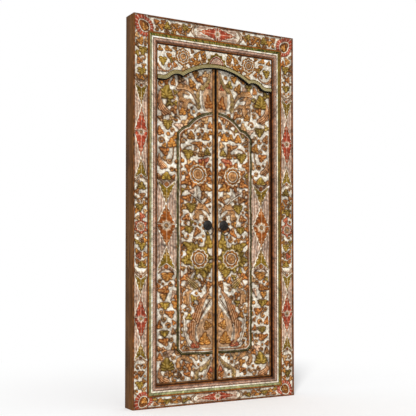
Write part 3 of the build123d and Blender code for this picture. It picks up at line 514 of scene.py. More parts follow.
    def corner(self, x, z, radius, outward):
        """Toothed ring drawn out to a blunt point at the corner, with a white lining and a leaf in it.

        Its radius grows towards the corner as the fifth power of the cosine, and its teeth are |cos 9a|.
        """
        part = self.near(x, z, 1.3 * radius)
        dx, dz = self.across[part] - x, self.up[part] - z
        r, angle = np.hypot(dx, dz), np.arctan2(dz, dx)
        point = np.clip(np.cos(angle - radians(outward)), 0, 1) ** 5
        tooth = np.abs(np.cos(9 * angle))
        flat = 0 * r
        inside = radius * (0.93 + 0.30 * point) - 8 * (1 - tooth ** 0.7) - r
        parting = 1 - smooth(0.12, 0.40, tooth)
        body = RED + (0.75 * parting)[..., None] * (CREAM - RED)
        self.lay(part, inside, self.relief * (0.6 + 0.3 * smooth(0, 8, inside)), body, 3.5, 0.5)
        lining = radius * (0.55 + 0.20 * point) - r
        self.lay(part, lining, self.relief * 0.8 + flat, CREAM * 1.02 + flat[..., None], wall_shade_and_dirt=0.7)
        sunk = self.relief * 0.15 + flat
        self.lay(part, lining - 0.11 * radius, sunk, BROWN * 1.25 + flat[..., None], wall_shade_and_dirt=0.6)
        self.leaf(x, z, 0.82 * radius, 0.62 * radius, outward + 20, "ochre", 2)


def painted_board(name, place, paint, fronts, band=None, spare=0):
    """Closed skin of a board: its section runs round the columns, and its length runs along the rows.

    Each face joins four neighbouring points, and a cap closes each end. band names the two columns
    between which the section goes on past the mitre, for spare rows at each end.
    """
    rows, columns = place.shape[:2]
    index = np.arange(rows * columns).reshape(rows, columns)
    following = np.roll(index, -1, axis=1)
    quads = np.stack([index[:-1], following[:-1], following[1:], index[1:]], axis=-1)
    keep = np.ones(quads.shape[:2], bool)
    low, high = band or (0, columns)
    in_band = (np.arange(columns) >= low) & (np.arange(columns) < high)
    keep[:spare] = in_band
    keep[rows - 1 - spare:] = in_band
    faces = [quads[keep]]
    front_faces = np.broadcast_to(fronts, keep.shape)[keep]
    caps = [index[0], index[-1][::-1]]
    if band:
        inner = np.r_[high:columns, 0:low + 1]
        caps = [index[0, low:high + 1], index[-1, low:high + 1][::-1],
                index[spare, inner], index[rows - 1 - spare, inner][::-1]]
        for strip in (index[:spare + 1], index[rows - 1 - spare:]):
            faces.append(np.stack([strip[:-1, high], strip[:-1, low],
                                   strip[1:, low], strip[1:, high]], axis=-1))
    quads = np.concatenate(faces)
    points = place.reshape(-1, 3)
    corner = points[quads]
    volume = np.einsum("ij,ij->i", corner[:, 0], np.cross(corner[:, 1], corner[:, 2])
                       + np.cross(corner[:, 2], corner[:, 3])).sum()
    cap_sizes = [len(cap) for cap in caps]
    loops = np.concatenate([quads.ravel(), *caps])
    starts = np.r_[np.arange(len(quads)) * 4, len(quads) * 4 + np.cumsum([0] + cap_sizes[:-1])]
    sizes = np.r_[np.full(len(quads), 4), cap_sizes]
    used = np.zeros(len(points), bool)
    used[loops] = True
    renumber = np.cumsum(used) - 1
    mesh = bpy.data.meshes.new(name)
    mesh.vertices.add(int(used.sum()))
    mesh.vertices.foreach_set("co", (points[used] * MM).ravel())
    mesh.loops.add(len(loops))
    mesh.loops.foreach_set("vertex_index", renumber[loops])
    mesh.polygons.add(len(sizes))
    mesh.polygons.foreach_set("loop_start", starts)
    mesh.polygons.foreach_set("loop_total", sizes)
    bare = np.ones(len(sizes), int)
    bare[:len(front_faces)][front_faces] = 0
    mesh.polygons.foreach_set("material_index", bare)
    mesh.update(calc_edges=True)
    colours = mesh.attributes.new("Paint", "FLOAT_COLOR", "POINT")
    flat = np.c_[paint.reshape(-1, 3)[used] ** 2.2, np.ones(int(used.sum()))]
    colours.data.foreach_set("color", flat.ravel())
    if volume < 0:
        mesh.flip_normals()
    mesh.validate()
    board = bpy.data.objects.new(name, mesh)
    scene.collection.objects.link(board)
    return board


def painted_wood():
    """Old paint on carved wood: patchy, brushed, chipped to the wood, and matt."""
    material = bpy.data.materials.new("rubbed_paint")
    material.use_nodes = True
    tree = material.node_tree
    tree.nodes.clear()
    spot = add_node(tree, "ShaderNodeTexCoord").outputs["Object"]
    colour = add_node(tree, "ShaderNodeAttribute", {"attribute_name": "Paint"}).outputs["Color"]
    patina = add_node(tree, "ShaderNodeTexNoise", Vector=spot, Scale=26.0, Detail=6.0,
                      Roughness=0.65).outputs[0]
    patina = add_node(tree, "ShaderNodeMapRange", Value=patina, From_Min=0.25, From_Max=0.75,
                      To_Min=0.80, To_Max=1.16).outputs[0]
    brushed = add_node(tree, "ShaderNodeMapping", Vector=spot, Scale=(420.0, 420.0, 60.0)).outputs[0]
    strokes = add_node(tree, "ShaderNodeTexNoise", Vector=brushed, Scale=1.0, Detail=4.0,
                       Roughness=0.6).outputs[0]
    stroke_share = add_node(tree, "ShaderNodeMapRange", Value=strokes, From_Min=0.3, From_Max=0.7,
                            To_Min=0.86, To_Max=1.10).outputs[0]
    level = add_node(tree, "ShaderNodeMath", {"operation": "MULTIPLY"}, _0=patina,
                     _1=stroke_share).outputs[0]
    shaded = add_node(tree, "ShaderNodeVectorMath", {"operation": "SCALE"}, _0=colour,
                      Scale=level).outputs[0]
    chips = add_node(tree, "ShaderNodeTexNoise", Vector=spot, Scale=210.0, Detail=3.0,
                     Roughness=0.7).outputs[0]
    chipped = add_node(tree, "ShaderNodeMapRange", {"interpolation_type": "SMOOTHSTEP"}, Value=chips,
                       From_Min=0.60, From_Max=0.68, To_Max=0.55).outputs[0]
    chip_colour = add_node(tree, "ShaderNodeVectorMath", {"operation": "MULTIPLY"}, _0=shaded,
                           _1=(0.42, 0.26, 0.15)).outputs[0]
    mixed = add_node(tree, "ShaderNodeMix", {"data_type": "RGBA"}, _0=chipped, _6=shaded,
                     _7=chip_colour).outputs[2]
    rough = add_node(tree, "ShaderNodeMapRange", Value=strokes, To_Min=0.55, To_Max=0.90).outputs[0]
    grain = add_node(tree, "ShaderNodeMath", {"operation": "ADD"}, _0=strokes, _1=chips).outputs[0]
    bump = add_node(tree, "ShaderNodeBump", Strength=0.5, Distance=0.0006, Height=grain).outputs[0]
    surface = add_node(tree, "ShaderNodeBsdfPrincipled", Base_Color=mixed, Roughness=rough, Normal=bump,
                       Specular_IOR_Level=0.12).outputs[0]
    add_node(tree, "ShaderNodeOutputMaterial", Surface=surface)
    return material


def bare_wood(name, grain_scale):
    """Brown oiled hardwood: streaks drawn out along the board, dark pores and worn patches."""
    material = bpy.data.materials.new(name)
    material.use_nodes = True
    tree = material.node_tree
    tree.nodes.clear()
    spot = add_node(tree, "ShaderNodeTexCoord").outputs["Object"]
    drawn = add_node(tree, "ShaderNodeMapping", Vector=spot, Scale=grain_scale).outputs[0]
    streaks = add_node(tree, "ShaderNodeTexNoise", Vector=drawn, Scale=1.0, Detail=8.0, Roughness=0.62,
                       Distortion=0.6).outputs[0]
    colour = add_node(tree, "ShaderNodeValToRGB", Fac=streaks)
    ramp = colour.color_ramp
    ramp.elements[0].position, ramp.elements[0].color = 0.28, (0.050, 0.020, 0.006, 1)
    ramp.elements[1].position, ramp.elements[1].color = 0.74, (0.185, 0.086, 0.030, 1)
    middle = ramp.elements.new(0.5)
    middle.color = (0.108, 0.046, 0.015, 1)
    patches = add_node(tree, "ShaderNodeTexNoise", Vector=spot, Scale=7.0, Detail=5.0,
                       Roughness=0.6).outputs[0]
    patch_share = add_node(tree, "ShaderNodeMapRange", Value=patches, From_Min=0.3, From_Max=0.7,
                           To_Min=0.78, To_Max=1.2).outputs[0]
    shaded = add_node(tree, "ShaderNodeVectorMath", {"operation": "SCALE"}, _0=colour.outputs[0],
                      Scale=patch_share).outputs[0]
    rough = add_node(tree, "ShaderNodeMapRange", Value=streaks, To_Min=0.48, To_Max=0.78).outputs[0]
    bump = add_node(tree, "ShaderNodeBump", Strength=0.5, Distance=0.0007, Height=streaks).outputs[0]
    surface = add_node(tree, "ShaderNodeBsdfPrincipled", Base_Color=shaded, Roughness=rough,
                       Normal=bump,
                       Specular_IOR_Level=0.03).outputs[0]
    add_node(tree, "ShaderNodeOutputMaterial", Surface=surface)
    return material


paint_finish = painted_wood()
upright_wood = bare_wood("brown_wood_upright", (75.0, 75.0, 5.5))
level_wood = bare_wood("brown_wood_level", (5.5, 75.0, 75.0))

# The section of a frame member: distance out from the sight edge, and depth behind the front
moulding_section = np.array([
    (0, 11.0), (2.5, 10.3), (6, 9.2), (10, 8.0), (10.2, 5.6), (11.5, 4.9), (13.5, 4.4), (16, 4.1),
    (18.5, 4.0), (21, 4.1), (23.5, 4.4), (25.6, 4.9), (26.8, 5.6), (27.2, 4.1), (29.5, 3.9),
    (34.5, 3.9), (36, 4.1), (38, 3.6), (40.5, 2.9), (43, 2.2), (45.5, 1.5), (48, 0.9), (50, 0.6),
    (52, 0.5), (56, 0.4), (58, 0.2),
])
# Paints across the moulding, by distance out. The dark at the sight edge is painted shade beside the
# reveal, and the bead's pink is laid darker at its sides and paler near its crest, with dark brown in the
# step beyond it: painted shade and painted highlight on the round.
moulding_paints = [
    (0, WALL * 0.8), (2.0, WALL), (3.5, BROWN * 1.4), (6.5, BROWN * 1.3), (8.5, PINK * 0.6),
    (11, PINK * 0.62), (14, PINK * 0.8), (16, PINK * 0.92), (20, PINK * 1.05), (24, PINK * 0.98),
    (25.8, PINK * 0.65), (26.9, WALL), (27.8, CREAM * 1.05), (35, CREAM * 1.05), (36, WALL),
    (49, WALL * 1.2), (50, WALL * 1.2), (51.5, OCHRE), (55, OCHRE * 0.95), (58, WALL * 1.3),
]


def member_front(out, along, bevel, dash_share):
    """Depth and paint of a member's moulding, both read off its section by the distance out.

    The bead is notched and the bevel dashed where a cosine along the member is high.
    """
    depth = np.interp(out, *moulding_section.T)
    stops, paints = zip(*moulding_paints)
    paint = np.stack([np.interp(out, stops, [p[i] for p in paints]) for i in range(3)], axis=-1)
    slope = smooth(35.6, 37, out) * (1 - smooth(48, 49.5, out))
    # Painted shade: the bevel's paint is laid darker towards both its edges.
    shade = 0.84 + 0.16 * np.sin(pi * (out - bevel_start) / (bevel_end - bevel_start))
    paint = paint + slope[..., None] * (bevel * shade[..., None] - paint)
    dash = 0.5 + 0.5 * np.cos(2 * pi * along / notch_pitch + 1.5 * np.sin(along / 90))
    notch = smooth(21, 22.5, out) * (1 - smooth(25.5, 26.5, out)) * smooth(0.35, 0.6, dash)
    blot = smooth(11, 12, out) * (1 - smooth(15, 16.5, out)) * smooth(0.3, 1.2, mottle(out.shape, 1))
    depth = depth + 0.9 * notch
    paint = paint + (0.9 * notch)[..., None] * (WALL * 1.2 - paint)
    paint = paint + (0.7 * blot)[..., None] * (RED * 0.6 - paint)
    mark = smooth(35.5, 37, out) * (1 - smooth(47.5, 49, out))
    uneven = along + 0.6 * out + 6 * np.sin(along / 31) + 9 * np.sin(along / 83)
    dash = np.cos(2 * pi * uneven / dash_pitch)
    mark = mark * smooth(0.0, 0.8, 0.7 * dash + 0.5 * mottle(out.shape, 2))
    depth = depth + 0.8 * dash_share * mark
    paint = paint + (0.8 * dash_share * mark)[..., None] * (LINE_GREEN * 1.3 - paint)
    paint = paint * (1 + 0.10 * mottle(out.shape, 1) + 0.06 * mottle(out.shape, 6))[..., None]
    return depth, paint


def curved_hand(across, up, phase):
    """The small wanderings of a hand-cut drawing: sums of slow sines, about 1.5 mm, set by the phase."""
    return (across + 1.5 * np.sin(up / 61 + phase) + 0.7 * np.sin(up / 23 + 2 * phase),
            up + 1.5 * np.sin(across / 37 + 3 * phase) + 1.0 * np.sin(up / 71 + phase))


def frame_member(name, width, ends, spares, to_world, carve, bevel, dash_share, material):
    """Build one member: rows run from end to end along the mitres, columns run round its section.

    ends are the places of the mitres at the sight edge, and spares the lengths beyond the mitres.
    """
    band_end = width - arris_width
    column_count = round((band_end - moulding_width) / column_pitch)
    band_columns = np.linspace(moulding_width + 0.6, band_end - 0.6, column_count)
    outs = np.r_[moulding_section[:, 0], band_columns, band_end, band_end + 1.2, width - 1.2, width]
    back = [(width, frame_depth), (moulding_width, frame_depth), (rebate_step, frame_depth),
            (rebate_step, lip_depth), (0, lip_depth)]
    all_outs = np.r_[outs, [out for out, _ in back]]
    reach = np.minimum(all_outs, moulding_width)
    low, high = ends[0] - reach, ends[1] + reach
    run = np.linspace(0, 1, round((ends[1] - ends[0] + 2 * moulding_width) / carving_pitch))
    along = low + run[:, None] * (high - low)
    spare = round(spares[0] / carving_pitch)
    if spare:
        steps = np.arange(spare)[:, None] / spare * np.ones(len(all_outs))
        below = low.min() - spares[0] + steps * spares[0]
        above = high.max() + (steps + 1 / spare) * spares[1]
        along = np.concatenate([below, along, above])
    out = np.broadcast_to(all_outs, along.shape).copy()
    front = len(outs)
    depth, paint = member_front(out[:, :front], along[:, :front], bevel, dash_share)
    in_band = (outs > moulding_width + 0.3) & (outs < band_end)
    face = carve(out[:, :front], along[:, :front])
    edge = np.minimum(out[:, :front] - moulding_width, band_end - out[:, :front])
    # Painted shade along the sunk band's edges: dark brown is laid there.
    face.tint(np.s_[:, :], (1 - smooth(0.5, 3.5, edge)) * 0.8, WALL * 1.2)
    depth[:, in_band] = band_sink - np.clip(face.rise[:, in_band], 0, band_sink - 0.2)
    paint[:, in_band] = face.paint[:, in_band]
    arris = outs >= band_end
    arris_stops = [band_end, band_end + 1.2, width - 1.2, width]
    depth[:, arris] = np.interp(outs[arris], arris_stops, [0.4, 0, 0, 1.0])
    paint[:, arris] = BROWN * (1.1 + 0.14 * mottle(along[:, :front].shape, 2)[:, arris, None])
    back_depth = np.broadcast_to([d for _, d in back], (len(along), len(back)))
    all_depth = np.concatenate([depth, back_depth], axis=1)
    # Painted shade: the reveal behind the sight edge is laid dark brown.
    all_paint = np.concatenate([paint, np.ones((len(along), len(back), 3)) * WALL * 0.8], axis=1)
    place = to_world(out, along, front_y + all_depth)
    fronts = np.r_[np.ones(front - 1, bool), np.zeros(len(back), bool), [True]]
    band = (len(moulding_section) - 1, front + 1)
    board = painted_board(name, place, np.clip(all_paint, 0.01, 0.95), fronts, band, spare)
    board.data.materials.append(paint_finish)
    board.data.materials.append(material)
    return board


def striped(face, zone, place):
    """Lay pink paint on a zone, in ridges that rise as cos(2 pi place), pale at their tops."""
    stripe = np.cos(2 * pi * place)
    face.paint += (zone * 0.85)[..., None] * (PINK * 0.90 - face.paint)
    face.paint += (zone * 0.45 * smooth(0.3, 0.9, stripe))[..., None] * (CREAM - face.paint)
    face.paint += (zone * 0.35 * smooth(0.5, 1.0, -stripe))[..., None] * (BROWN * 1.2 - face.paint)
    face.rise += zone * 1.2 * smooth(-0.2, 0.8, stripe)


# Leaves of a jamb: place across and up, length, width, angle of the tip, and paint
JAMB_LEAVES = [
    (474, 1958, 48, 38, 120, "ochre"), (462, 1905, 52, 50, -90, "olive"),
    (480, 1850, 40, 34, 60, "orange"), (465, 1795, 46, 52, -90, "olive"),
    (452, 1828, 30, 22, 150, "ochre"), (465, 1180, 48, 50, 90, "olive"),
    (460, 1130, 38, 30, 150, "orange"), (474, 1065, 48, 46, -90, "olive"),
    (462, 1022, 40, 34, 60, "red"), (465, 862, 50, 46, -90, "olive"), (478, 812, 42, 34, 120, "red"),
    (462, 762, 46, 50, 90, "olive"), (462, 190, 40, 32, 150, "orange"),
    (474, 130, 48, 46, -90, "olive"), (446, 1090, 30, 24, 60, "ochre"),
    (492, 1150, 34, 26, 120, "orange"), (446, 895, 32, 24, 60, "ochre"),
    (492, 835, 32, 24, 60, "ochre"), (448, 150, 32, 24, 60, "ochre"), (490, 175, 32, 24, 120, "orange"),
    (492, 1045, 30, 24, -60, "ochre"), (446, 780, 30, 22, 120, "ochre"),
    (490, 780, 32, 24, 60, "orange"),
]
# Curls: place, radius, angle at the start, and turn. Arcs: height of the ends and of the middle.
# Darts: height, length, width and angle. Diamonds: height, length and width.
JAMB_CURLS = [(458, 1868, 20, 20, 290), (480, 1100, 17, 200, -290), (482, 922, 18, 20, 290),
              (482, 222, 19, 200, -290)]
JAMB_ARCS = [(1768, 1738), (1754, 1724), (1200, 1230), (1214, 1244),
             (742, 712), (728, 698), (238, 268), (252, 282)]
JAMB_DARTS = [(1664, 124, 76, -90), (1280, 116, 76, 90), (652, 112, 76, -90), (310, 100, 76, 90)]
JAMB_DIAMONDS = [(1467, 290, 82), (478, 250, 82)]
STRIPED_STRETCHES = [(1738, 1217), (725, 255)]
jamb_rosette_up = 965
stripe_pitch = 15.0
least_room = 12.5


def arcs_across(face, middle, reach, bends, level):
    """Pairs of bowed lines right across a band, brown with a white line on each side."""
    for ends, bend in bends:
        points = ((ends, middle - reach), (2 * bend - ends, middle), (ends, middle + reach))
        if not level:
            points = tuple((z, x) for x, z in points)
        face.bow(*points, 5.5, 5.5, "brown", 3, 0.3)


def carve_jamb(out, along):
    """Lay out a jamb's carving: foliage, pairs of arcs, darts and long diamonds on a striped ground."""
    across, up = curved_hand(opening_half + out, along, 1.0)
    face = CarvedFace(across, up, CHALK, band_relief)
    half = (frame_half - arris_width - shoulder_half) / 2
    middle = (frame_half - arris_width + shoulder_half) / 2
    stripes = 0 * up
    for high, low in STRIPED_STRETCHES:
        stripes = stripes + smooth(low - 5, low + 5, up) * (1 - smooth(high - 5, high + 5, up))
    striped(face, stripes, (across - middle) / stripe_pitch + 0.12 * np.sin(up / 33))
    arcs_across(face, middle, half - 2, JAMB_ARCS, False)
    for z, length, width, angle in JAMB_DARTS:
        face.dart(middle, z, length, width, angle)
    for z, tall, wide in JAMB_DIAMONDS:
        face.diamond(middle, z, tall, wide)
    for x, z, radius, start, turn in JAMB_CURLS:
        face.curl(x, z, radius, start, turn, "ochre", halo=2)
    for x, z, length, width, angle, colour in JAMB_LEAVES:
        face.leaf(x, z, length, width, angle, colour)
    face.rosette(middle, jamb_rosette_up, 24, 11, 8, 6, 22, "red")
    face.corner(corner_across, head_corner_up, 60, 45)
    face.corner(corner_across, sill_corner_up, 56, -45)
    in_band = (out > moulding_width + 2) & (out < frame_half - opening_half - arris_width - 2)
    face.fill(in_band & (stripes < 0.05), carving_pitch, least_room)
    face.age()
    at_end = 1 - smooth(5.6, 7.4, np.minimum(along, frame_top - along))
    face.rise += at_end * (band_sink - face.rise)
    face.tint(np.s_[:, :], at_end, BROWN * 1.1)
    return face


# The jambs' bevels carry one paint, laid paler on the left jamb as a painted sheen and darker on the right
# jamb as painted shade.
SIDE_BEVELS = [(-1, "left", PALE_GREEN * 0.86), (1, "right", np.array([0.43, 0.36, 0.15]))]
for side, side_name, bevel in SIDE_BEVELS:

    def upright_place(out, along, depth, side=side):
        """Place of a jamb's points: out runs sideways and along runs up."""
        return np.stack([side * (opening_half + out), depth, along], axis=-1)

    jamb = frame_member(f"carved_jamb_{side_name}", frame_half - opening_half, (sill_sight, head_sight),
                        (sill_sight - moulding_width, frame_top - head_sight - moulding_width),
                        upright_place, carve_jamb, bevel, 0.0, upright_wood)
    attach(jamb, "frame")
    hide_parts(f"jamb_{side_name}")

# The same for the head and the sill: place along and from the middle of a band as wide as the head's
cross_band = 78.5
cross_striped_half, cross_arcs_half = 128.0, 166.0
CROSS_LEAVES = [
    (182, 0, 40, 32, 150, "ochre"), (205, 12, 44, 36, 60, "olive"), (240, -12, 40, 32, 20, "orange"),
    (262, 14, 40, 30, 10, "ochre"), (312, 2, 50, 46, 90, "olive"), (352, -6, 44, 36, 30, "ochre"),
    (376, 16, 38, 30, 160, "orange"), (336, 22, 34, 24, 150, "orange"),
]
CROSS_CURLS = [(232, 8, 16, 20, 290), (282, 8, 15, 200, -290)]
CROSS_ARCS = [(122, 152), (136, 166)]


def carve_cross(out, along, height, corner_up):
    """Lay out the head's or the sill's carving about its middle: a level diamond, arcs and foliage."""
    band = height - moulding_width - arris_width
    across, up = curved_hand(along, out - moulding_width - band / 2, 0.4)
    face = CarvedFace(np.abs(across), up * cross_band / band, CHALK, band_relief)
    stripes = 1 - smooth(cross_striped_half - 4, cross_striped_half + 4, np.abs(across))
    striped(face, stripes, up / stripe_pitch + 0.12 * np.sin(across / 33))
    arcs_across(face, 0, 37, CROSS_ARCS, True)
    face.diamond(0, 0, 270, 84, level=True)
    for x, z, radius, start, turn in CROSS_CURLS:
        face.curl(x, z, radius, start, turn, "ochre", halo=2)
    for x, z, length, width, angle, colour in CROSS_LEAVES:
        face.leaf(x, z, length, width, angle, colour)
    face.corner(corner_across, corner_up, 60, 45)
    in_band = (out > moulding_width + 2) & (out < height - arris_width - 2)
    face.fill(in_band & (np.abs(across) > cross_arcs_half), carving_pitch, least_room)
    face.age()
    return face


for name, node, sight, outward, height, corner_z, bevel, dash_share in (
        ("carved_head", "frame_head", head_sight, 1, frame_top - head_sight, head_corner_up,
         np.array([0.52, 0.45, 0.22]), 1.0),
        ("carved_sill", "frame_sill", sill_sight, -1, sill_sight, sill_corner_up,
         PALE_GREEN * 0.9, 0.2)):

    def level_place(out, along, depth, sight=sight, outward=outward):
        """Place of the head's or the sill's points: out runs away from the opening, along runs across."""
        return np.stack([along, depth, sight + outward * out], axis=-1)

    def carve_member(out, along, height=height, corner_out=outward * (corner_z - sight)):
        """Carve one cross member, with its corner rings level with those of the jambs."""
        band = height - moulding_width - arris_width
        corner_up = (corner_out - moulding_width - band / 2) * cross_band / band
        return carve_cross(out, along, height, corner_up)

    member = frame_member(name, height, (-opening_half, opening_half), (0, 0), level_place, carve_member,
                          bevel, dash_share, level_wood)
    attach(member, "frame")
    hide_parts(node)

# Arch board
# A thin board, tongued into the head in front of the leaves. Its lower edge is cut
# to a cusped arch and carved as a rope, and its face is carved with flowers, leaves and a half sun.
arch_foot = 1762.0
arch_cusp_half, arch_cusp_rise = 212.0, 28.0
arch_crown_rise = 96.0
arch_shoulder_half = 330.0
arch_hump = ((arch_cusp_half, arch_cusp_rise), (247.0, 37.0), (283.0, 24.0))
arch_sweep = ((283.0, 24.0), (304.0, 7.0), (arch_shoulder_half, 0.0))
arch_ground_depth = 15.0
arch_relief = 5.0
rope_width = 23.0
rope_line_width = 5.0
rope_pitch = 11.0
rope_groove_gaps = (12.0, 19.0)
sun_up, sun_stretch = 1884.0, 1.2
tongue_length, tongue_front, tongue_back = 6.0, 16.25, 22.25
arch_column_count, arch_row_count = 400, 90
arch_pitch, arch_least_room = 2.3, 16.5
ROPE_PAINT = np.array([0.82, 0.76, 0.56])


def arc_height(across, points):
    """Height at each place on the circle through three points, on the side where the points lie."""
    (ax, ay), (bx, by), (cx, cy) = points
    turn = 2 * (ax * (by - cy) + bx * (cy - ay) + cx * (ay - by))
    a2, b2, c2 = ax ** 2 + ay ** 2, bx ** 2 + by ** 2, cx ** 2 + cy ** 2
    middle_x = (a2 * (by - cy) + b2 * (cy - ay) + c2 * (ay - by)) / turn
    middle_y = (a2 * (cx - bx) + b2 * (ax - cx) + c2 * (bx - ax)) / turn
    radius = np.hypot(ax - middle_x, ay - middle_y)
    rise = np.sqrt(np.clip(radius ** 2 - (across - middle_x) ** 2, 0, None))
    return middle_y + rise * (1 if by > middle_y else -1)


def arch_edge(across):
    """Height of the arch board's lower edge: a crown arc, a hump, a sweep and a level end."""
    away = np.abs(across)
    left_cusp, right_cusp = (-arch_cusp_half, arch_cusp_rise), (arch_cusp_half, arch_cusp_rise)
    crown = arc_height(away, (left_cusp, (0, arch_crown_rise), right_cusp))
    edge = np.where(away < arch_cusp_half, crown, arc_height(away, arch_hump))
    edge = np.where(away > arch_hump[2][0], arc_height(away, arch_sweep), edge)
    return arch_foot + np.where(away > arch_shoulder_half, 0, edge)


# Leaves as for the jambs. Rings of the half sun: reach, teeth, paint, share of the relief, white edge
ARCH_LEAVES = [
    (335, 1868, 54, 46, -90, "olive"), (298, 1902, 36, 30, 30, "ochre"),
    (302, 1936, 50, 28, 200, "ochre"), (350, 1930, 36, 28, 200, "ochre"),
    (262, 1856, 36, 26, 60, "orange"), (160, 1868, 34, 26, 150, "orange"),
    (124, 1920, 50, 32, 120, "ochre"), (156, 1940, 32, 22, 60, "brown"),
    (90, 1942, 40, 22, 150, "ochre"), (262, 1944, 30, 20, 10, "ochre"), (96, 1890, 32, 20, 30, "tan"),
    (352, 1816, 34, 22, 200, "pink"),
]
SUN_RINGS = [(58, 4.5, OLIVE * 0.95, 0.8, 3.0), (46, 1.0, CREAM, 0.5, 0.0), (42, 2.0, RED * 0.9, 0.85, 0.0),
             (35, 0.5, CREAM, 0.6, 0.0), (30, 0.5, PINK * 0.95, 0.9, 0.0)]


def carve_arch(across, up):
    """Lay out the arch board's carving, the same to the left and the right of its middle."""
    across, up = curved_hand(across, up, 0.9)
    face = CarvedFace(np.abs(across), up, CHALK, arch_relief)
    for x, z, length, width, angle, colour in ARCH_LEAVES:
        face.leaf(x, z, length, width, angle, colour)
    face.blade((288, 1826), (340, 1794), (366, 1846), 8, 11, "orange", 3, -1)
    face.curl(296, 1846, 19, 250, -280, "orange", 10)
    face.rosette(212, 1903, 38, 17, 8, 6, 18, "ochre")
    zone = (np.abs(across) < 366) & (np.abs(across) > 62) & (up < 1950)
    face.fill(zone & (up > arch_edge(across) + 30), arch_pitch, arch_least_room)
    whole = np.s_[:, :]
    dx, dz = face.across / sun_stretch, face.up - sun_up
    r, angle = np.hypot(dx, dz), np.arctan2(dz, dx)
    flat = 0 * r
    for reach, teeth, colour, rise, halo in SUN_RINGS:
        outline = reach * (0.86 + 0.20 * np.clip(np.sin(angle), 0, 1) ** 6) + teeth * np.cos(12 * angle)
        face.lay(whole, outline - r, arch_relief * rise + flat, colour + flat[..., None], halo, 0.5)
    face.age()
    return face


arch_columns = np.linspace(-opening_half, opening_half, arch_column_count)
arch_rows = np.linspace(0, 1, arch_row_count)
board_edge = arch_edge(arch_columns)
arch_up = board_edge + arch_rows[:, None] * (head_sight - board_edge)
arch_across = np.broadcast_to(arch_columns, arch_up.shape).copy()
arch_face = carve_arch(arch_across, arch_up)
edge_places = np.linspace(-opening_half, opening_half, 161)
edge_path = np.c_[edge_places, arch_edge(edge_places)]
edge_gap, edge_share, _ = beside(arch_across, arch_up, edge_path)
edge_run = edge_share * np.hypot(*np.diff(edge_path, axis=0).T).sum()
mirrored_run = np.abs(edge_run - edge_run.max() / 2)
whole_width = rope_width + rope_line_width
round_share = np.clip(1 - ((edge_gap - rope_width / 2) / (rope_width / 2)) ** 2, 0, 1)
strand = 0.5 + 0.5 * np.cos(2 * pi * (mirrored_run + 1.1 * edge_gap) / rope_pitch)
right_share = smooth(-60, 60, arch_across)
strand = 1 - (1 - strand) * (0.45 + 0.55 * right_share)
rope_rise = arch_relief * (0.45 + 0.50 * np.sqrt(round_share)) - 0.8 * (1 - strand) * round_share
rope_paint = OLIVE * 0.5 + smooth(0.1, 0.75, strand)[..., None] * (ROPE_PAINT - OLIVE * 0.5)
upper_line = smooth(rope_width - 0.5, rope_width + 0.8, edge_gap)
for groove_gap in rope_groove_gaps:
    groove = (1 - smooth(1.0, 3.0, np.abs(edge_gap - groove_gap))) * (0.9 - 0.8 * right_share)
    rope_paint = rope_paint + groove[..., None] * (OLIVE * 0.55 - rope_paint)
rope_paint = rope_paint + upper_line[..., None] * (OLIVE * 0.8 - rope_paint)
arch_face.lay(np.s_[:, :], whole_width - edge_gap, rope_rise, rope_paint)
# Painted shadow: a black band along the arch's lower edge, under the rope.
arch_face.tint(np.s_[:, :], 1 - smooth(6.5, 8.5, edge_gap), SHADOW_BLACK)
arch_depth = arch_ground_depth - np.clip(arch_face.rise, 0, arch_relief)
# Painted shade where the board meets the head and the jambs: dark brown is laid there.
near_frame = smooth(6, 1, head_sight - arch_up) + smooth(6, 1, opening_half - np.abs(arch_across))
arch_face.tint(np.s_[:, :], np.clip(near_frame, 0, 1) * 0.85, WALL * 0.8)
tongue = [(0.0, tongue_front), (tongue_length, tongue_front), (tongue_length, tongue_back),
          (0.0, tongue_back), (0.0, lip_depth)]
level_row = np.ones(len(arch_columns))
tongue_rows = [
    np.stack([arch_columns, (front_y + depth) * level_row, (head_sight + out) * level_row], axis=-1)
    for out, depth in tongue]
foot_row = np.stack([arch_columns, (front_y + lip_depth) * level_row, board_edge], axis=-1)
arch_place = np.stack([arch_across, front_y + arch_depth, arch_up], axis=-1)
arch_place = np.concatenate([arch_place, tongue_rows, foot_row[None]]).transpose(1, 0, 2)
back_rows = len(tongue) + 1
# Painted shadow: the soffit under the lower edge is laid black.
back_paint = np.ones((back_rows, len(arch_columns), 3)) * SHADOW_BLACK
arch_paint = np.concatenate([arch_face.paint, back_paint]).transpose(1, 0, 2)
arch_fronts = np.r_[np.ones(len(arch_rows) - 1, bool), np.zeros(back_rows, bool), [True]]
arch_board = painted_board("carved_arch_board", arch_place, arch_paint, arch_fronts)
arch_board.data.materials.append(paint_finish)
arch_board.data.materials.append(level_wood)
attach(arch_board, "frame")
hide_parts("arch_board")

# Leaves
# Each leaf is one thick board, sunk and carved in one ground, with plain strips left at its meeting
# edge, heel and foot. The heel is rounded, because the leaf turns there on its pins.
leaf_low, leaf_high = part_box("leaf_right")
leaf_inner, leaf_outer = leaf_low.x / MM, leaf_high.x / MM
leaf_foot, leaf_top = leaf_low.z / MM, leaf_high.z / MM
leaf_front_depth = 25.0
leaf_back_depth = 61.0
leaf_relief = 8.0
field_inner, field_outer = 17.0, 364.0
field_foot, field_top = 126.0, 1880.0
heel_radius, heel_front_radius = 12.0, 10.0
gap_shadow_reach = 6.8
leaf_column_count, leaf_row_count = 126, 650
leaf_pitch, leaf_least_room, drawn_top = 2.7, 15.0, 1850.0
boss_across, boss_up, boss_seat = 52.0, 981.0, 30.0

